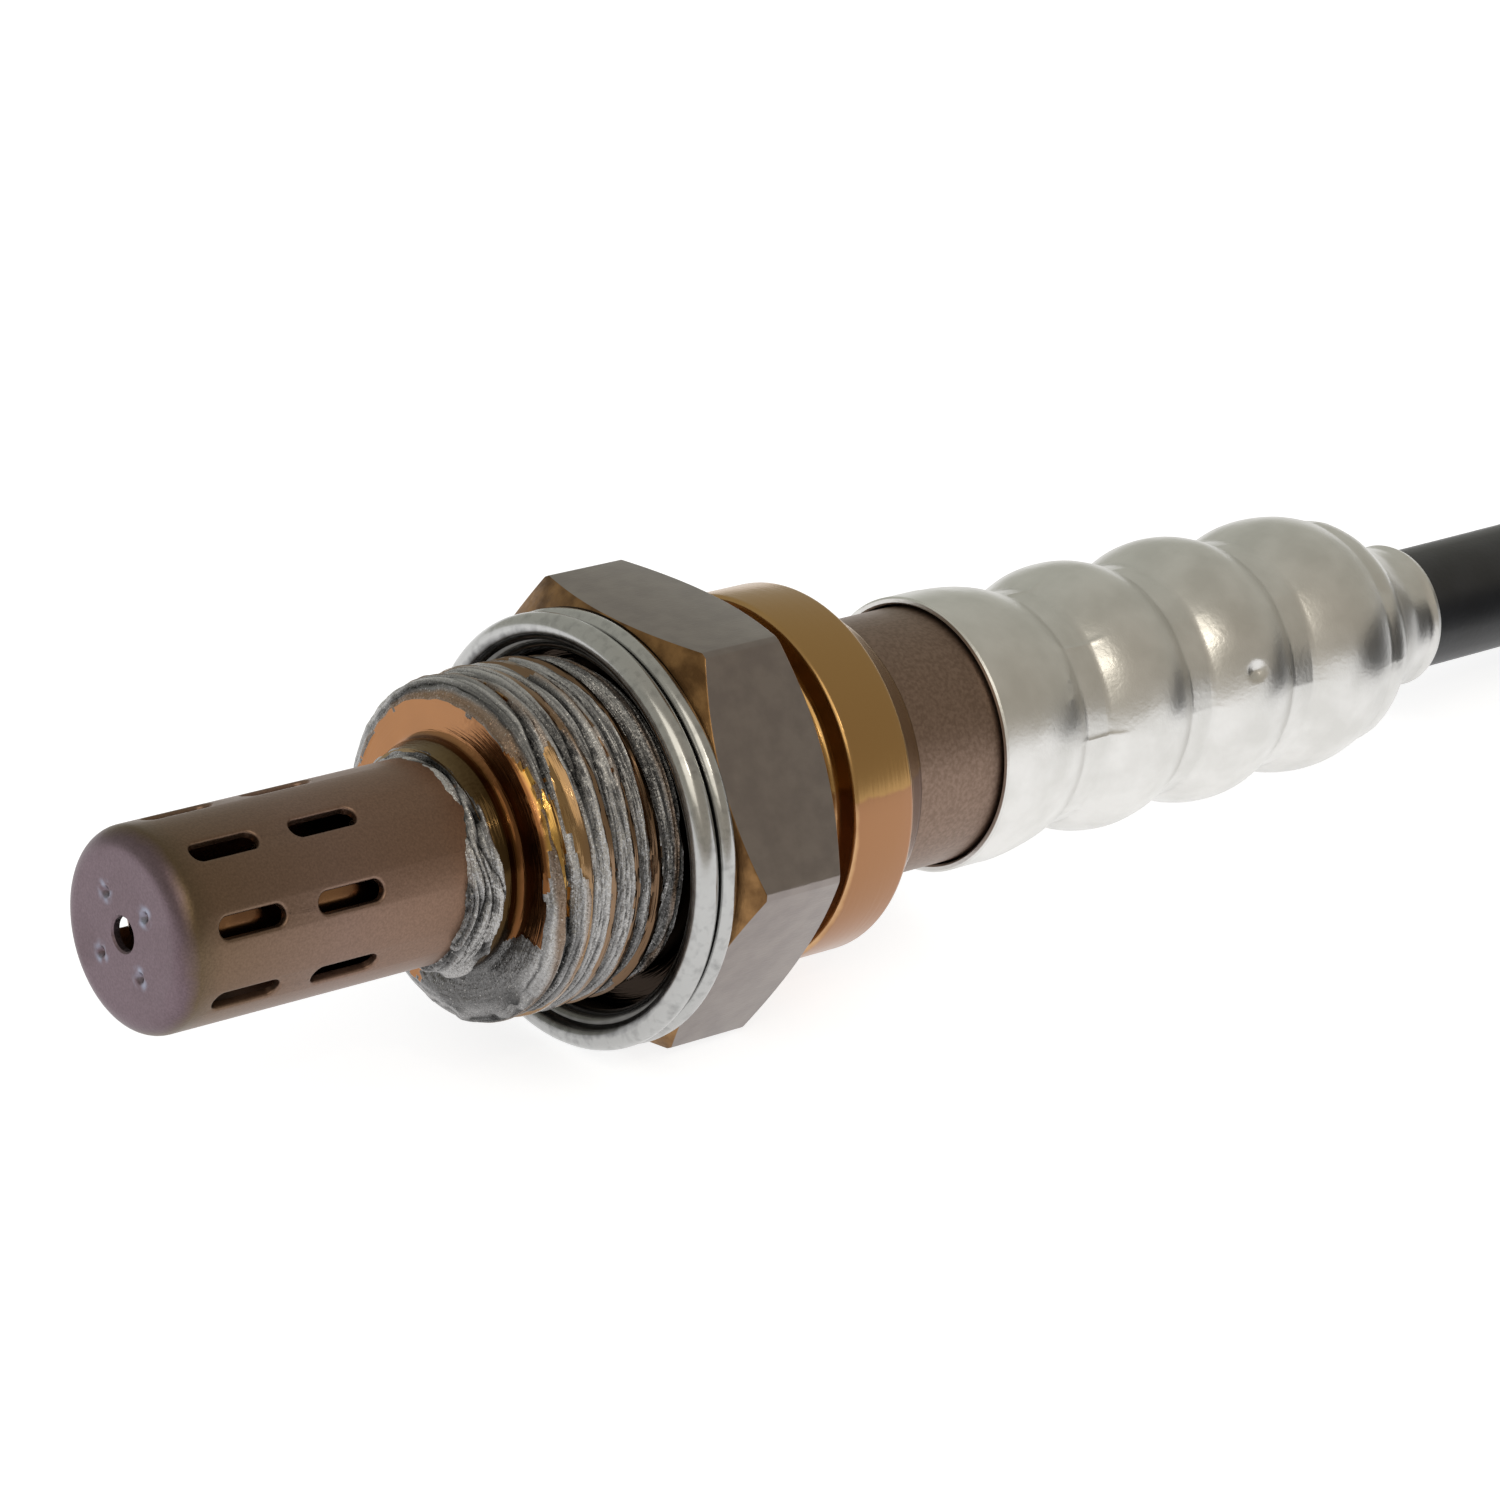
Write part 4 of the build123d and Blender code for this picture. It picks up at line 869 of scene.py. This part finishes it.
# punch dimple, tool marks and small pips: station, angle, size, and depth or, below 0, height
scars = [(41.44, 160.2, 0.7, 0.30), (53.5, 139.5, 0.6, 0.07), (38.0, 136.6, 0.35, -0.05),
         (28.0, 143.4, 0.4, -0.06), (27.8, 152.5, 0.35, -0.06), (28.4, 126.7, 0.4, -0.05)]
for vertex in sheath.data.vertices:
    way, station, radius = whereabouts(vertex)
    if station < plain_rear:
        continue
    # each jaw leaves a shallow flat with a step at its ends, and a thin seam stands between two
    between = abs((way - radians(jaw_seam)) / (2 * pi) * jaw_count % 1.0 - 0.5) * 2
    sink = dent * noise.noise(vertex.co / (dent_size * MM))
    for jaw_floor in jaw_floors:
        reach = abs(station - jaw_floor)
        sink += jaw_flat * max(0.0, 1 - (reach / jaw_flat_reach) ** 2) * (1 - between ** 2)
        if reach < jaw_reach:
            edge = min(1.0, (jaw_reach - reach) / jaw_edge)
            bite = first_jaw_bite if jaw_floor == jaw_floors[0] else other_jaw_bite
            seam = max(0.0, between - (1 - seam_share)) / seam_share
            sink += bite * edge * (jaw_step - seam_height * seam)
    for place, degrees, size, depth in scars:
        gap = hypot(station - place, radius * sin(way - radians(degrees)))
        if gap < size and cos(way - radians(degrees)) > 0:
            sink += depth * (0.5 + 0.5 * cos(pi * gap / size))
    vertex.co.xy *= (radius - sink) / radius
# stainless, drawn and left bare: a matt silver-white that spreads every highlight over the lobe.
# Its grain is finer than a tenth of a millimetre, and is drawn at 0.25 mm so that it shows.
sheath_steel = finish("stainless_drawn_matt", metallic=1.0, roughness=0.33,
                      dark="#d3d2cf", light="#e0dfdd", patch=2.5, relief=0.012, grain=0.25)
mount_piece(sheath, sheath_steel, ["outer_sheath"])

# ---------------------------------------------------------------- terminals and their wires
# Stamped and plated terminals run from the thimble and the heater through the ceramic holder.
# Each is crimped on a wire in its own extruded jacket; a moulded grommet seals the four wires.
# brass, stamped and nickel plated: pale with a warm cast, smooth but for the press's fine lines
plated = finish("nickel_plated_brass_stamped", metallic=1.0, roughness=0.3,
                dark="#b9b1a2", light="#cfc8ba", patch=1.0, relief=0.002, grain=0.08)
dress(plated, "signal_terminal", "ground_terminal", "heater_terminal_a", "heater_terminal_b",
      "plug_pin_1", "plug_pin_2", "plug_pin_3", "plug_pin_4")
# silicone rubber, moulded: soft dark grey with a broad dull sheen and the mould's fine skin
rubber = finish("silicone_rubber_moulded", metallic=0.0, roughness=0.6,
                dark="#343434", light="#404040", patch=1.5, relief=0.01, grain=0.2)
dress(rubber, "grommet", "plug_seal")
# PTFE, extruded: waxy and even, black for the signal, grey for ground and white for the heater
for colour, dark, light, wires in (
        ("black", "#1c1c1d", "#262627", ["signal_wire"]),
        ("grey", "#75777a", "#828487", ["ground_wire"]),
        ("white", "#d9d8d4", "#e6e5e1", ["heater_wire_a", "heater_wire_b"])):
    jacket = finish("ptfe_extruded_" + colour, metallic=0.0, roughness=0.4,
                    dark=dark, light=light, patch=2.0, relief=0.002, grain=0.1)
    dress(jacket, *wires)

# ---------------------------------------------------------------- lead
# Four wires in a black sleeve of extruded silicone, gripped by the sheath's tail. It leaves along
# the axis, comes down on the bench, and is folded once and tied for the shelf.
lead_diameter = 7.0 * MM
lead_front = 54.9
touch_down = 91.4
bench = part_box("sealing_gasket")[0].z   # the gasket and the lead both lie on it
lying = bench + lead_diameter / 2
tie_lift, plug_half_height = 0.6, 6.0
in_tie = lying + tie_lift * MM
plug_middle = bench + plug_half_height * MM


def on_axis(station):
    """Point on the sensor's axis, in metres, at a station in millimetres."""
    return axis * station * MM


lead_points = [
    on_axis(lead_front), on_axis(touch_down), (0.130, -0.0012, in_tie), (0.169, 0.0004, in_tie),
    (0.196, 0.0222, lying), (0.2185, 0.0174, lying), (0.2285, -0.0032, lying),
    (0.2193, -0.0244, lying), (0.1966, -0.0304, lying), (0.163, -0.0075, in_tie),
    (0.142, -0.0084, in_tie), (0.128, -0.0215, plug_middle), (0.1094, -0.0215, plug_middle),
]
line = bpy.data.curves.new("lead", "CURVE")
line.dimensions = "3D"
line.bevel_depth = lead_diameter / 2
line.bevel_resolution = 10
line.resolution_u = 24
line.use_fill_caps = True
spline = line.splines.new("NURBS")
spline.points.add(len(lead_points) - 1)
for point, place in zip(spline.points, lead_points):
    point.co = (*place, 1)
spline.order_u = 3
spline.use_endpoint_u = True
lead = bpy.data.objects.new("lead", line)
bpy.context.scene.collection.objects.link(lead)
# silicone, extruded as a sleeve: black with a cool satin sheen and a faintly uneven skin
sleeve = finish("silicone_sleeve_extruded", metallic=0.0, roughness=0.42,
                dark="#17181b", light="#222327", patch=3.0, relief=0.01, grain=0.3)
line.materials.append(sleeve)
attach(lead, "root")
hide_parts("lead_sleeve")

# ---------------------------------------------------------------- tie and plug
# A nylon cable tie, pulled round both runs, holds the fold. The lead ends in a moulded plug of
# glass-filled nylon, with four blades, a plate that locks them in, and a rubber seal.
# nylon, moulded: the tie is smooth and a little shiny, as it came from a polished mould
tie_nylon = finish("nylon_moulded_black", metallic=0.0, roughness=0.4,
                   dark="#1c1c1e", light="#262628", patch=2.0, relief=0.004, grain=0.2)
dress(tie_nylon, "lead_tie")
# nylon with glass, moulded: the fibres come to the skin and leave it duller, greyer and grained
plug_nylon = finish("nylon_glass_filled_moulded", metallic=0.0, roughness=0.5,
                    dark="#26272a", light="#323338", patch=1.2, relief=0.01, grain=0.18)
dress(plug_nylon, "plug_housing")
# nylon, moulded grey: it tells the lock from the plug, and has a plain satin skin
lock_nylon = finish("nylon_moulded_grey", metallic=0.0, roughness=0.45,
                    dark="#6d7075", light="#7b7e83", patch=1.5, relief=0.006, grain=0.2)
dress(lock_nylon, "plug_lock")

# ---------------------------------------------------------------- bench, room and lamps
# A white bench in a grey room, under two lamps. The bare metal shows the white bench below and
# the grey walls above, and the sensor throws a faint shadow.
bpy.ops.mesh.primitive_plane_add(size=8, location=(0, 0, bench))
floor = bpy.context.object
floor.name = "bench_top"
# a white laminate, matt: it looks white by itself, so that the sensor's faint shadow stays on it
bench_glow = 0.78
white = bpy.data.materials.new("bench_laminate_white")
white.use_nodes = True
tree, shader = inside(white)
shader.inputs["Roughness"].default_value = 0.9
shader.inputs["Specular IOR Level"].default_value = 0.0
shader.inputs["Base Color"].default_value = linear("#bcbcbc")
paths = node(tree, "LightPath").outputs
mirrored = node(tree, "Math", {0: paths["Is Glossy Ray"], 1: paths["Is Transmission Ray"]},
                operation="MAXIMUM")
seen = node(tree, "Math", {0: paths["Is Camera Ray"], 1: mirrored.outputs[0]}, operation="ADD")
glow = node(tree, "Math", {0: seen.outputs[0], 1: bench_glow}, operation="MULTIPLY")
tree.links.new(glow.outputs[0], shader.inputs["Emission Strength"])
shader.inputs["Emission Color"].default_value = linear("#ffffff")
floor.data.materials.append(white)

bpy.ops.mesh.primitive_uv_sphere_add(segments=64, ring_count=32, radius=3.5, location=(0, 0, 0))
room = bpy.context.object
room.name = "room_walls"
room.visible_camera = room.visible_diffuse = room.visible_shadow = False
# painted plaster, seen only in the metal: a warm grey on one side and a cooler one on the other
grey = bpy.data.materials.new("room_plaster_grey")
grey.use_nodes = True
tree, shader = inside(grey)
shader.inputs["Base Color"].default_value = linear("#000000")
shader.inputs["Specular IOR Level"].default_value = 0.0
place = node(tree, "SeparateXYZ", {"Vector": node(tree, "TexCoord").outputs["Object"]}).outputs
side = node(tree, "MapRange", {"Value": place["Y"], "From Min": -2.5, "From Max": 2.5})
walls = node(tree, "ValToRGB", {"Fac": side.outputs["Result"]},
             [(0.0, "#b0a99c"), (1.0, "#bcbcb2")])
tree.links.new(walls.outputs["Color"], shader.inputs["Emission Color"])
shader.inputs["Emission Strength"].default_value = 1.0
room.data.materials.append(grey)

# the world is white where it is looked at, and otherwise fills the shadows with less
world_fill = 0.6
world = bpy.data.worlds.new("studio")
bpy.context.scene.world = world
world.use_nodes = True
tree = world.node_tree
paths = node(tree, "LightPath").outputs
seen = node(tree, "Math", {0: paths["Is Camera Ray"], 1: paths["Is Glossy Ray"]},
            operation="MAXIMUM")
seen = node(tree, "Math", {0: seen.outputs[0], 1: paths["Is Transmission Ray"]},
            operation="MAXIMUM")
strength = node(tree, "Mix", {0: seen.outputs[0], 2: world_fill, 3: 1.0}, data_type="FLOAT")
background = tree.nodes["Background"]
background.inputs["Color"].default_value = linear("#ffffff")
tree.links.new(strength.outputs[0], background.inputs["Strength"])

# a small warm lamp draws the sharp glints, and a wide one over the camera gives the soft light
for name, way, distance, size, power, colour in (
        ("key_lamp", Vector((-0.12, -0.69, 0.71)), 1.0, 0.05, 0.35, "#fff7e7"),
        ("soft_box", Vector((-0.45, -0.55, 0.75)), 1.2, 0.9, 3.2, "#fff9eb")):
    lamp = bpy.data.lights.new(name, "AREA")
    lamp.size = size
    lamp.energy = power
    lamp.color = linear(colour)[:3]
    holder = bpy.data.objects.new(name, lamp)
    bpy.context.scene.collection.objects.link(holder)
    holder.location = way.normalized() * distance
    holder.rotation_euler = (-way).to_track_quat("-Z", "Y").to_euler()

# ---------------------------------------------------------------- camera
# A long lens about 0.3 m from the hexagon, in front of the nose and above it, looking along the
# sensor to the lead.
camera = bpy.data.objects.new("camera", bpy.data.cameras.new("camera"))
bpy.context.scene.collection.objects.link(camera)
camera.location = (-0.16787, -0.20516, 0.13133)
camera.rotation_euler = [radians(angle) for angle in (64.315, -0.923, -40.584)]
camera.data.sensor_width = 36
camera.data.lens = 137.72
camera.data.clip_start = 0.01
bpy.context.scene.camera = camera
bpy.context.scene.view_settings.view_transform = "Standard"
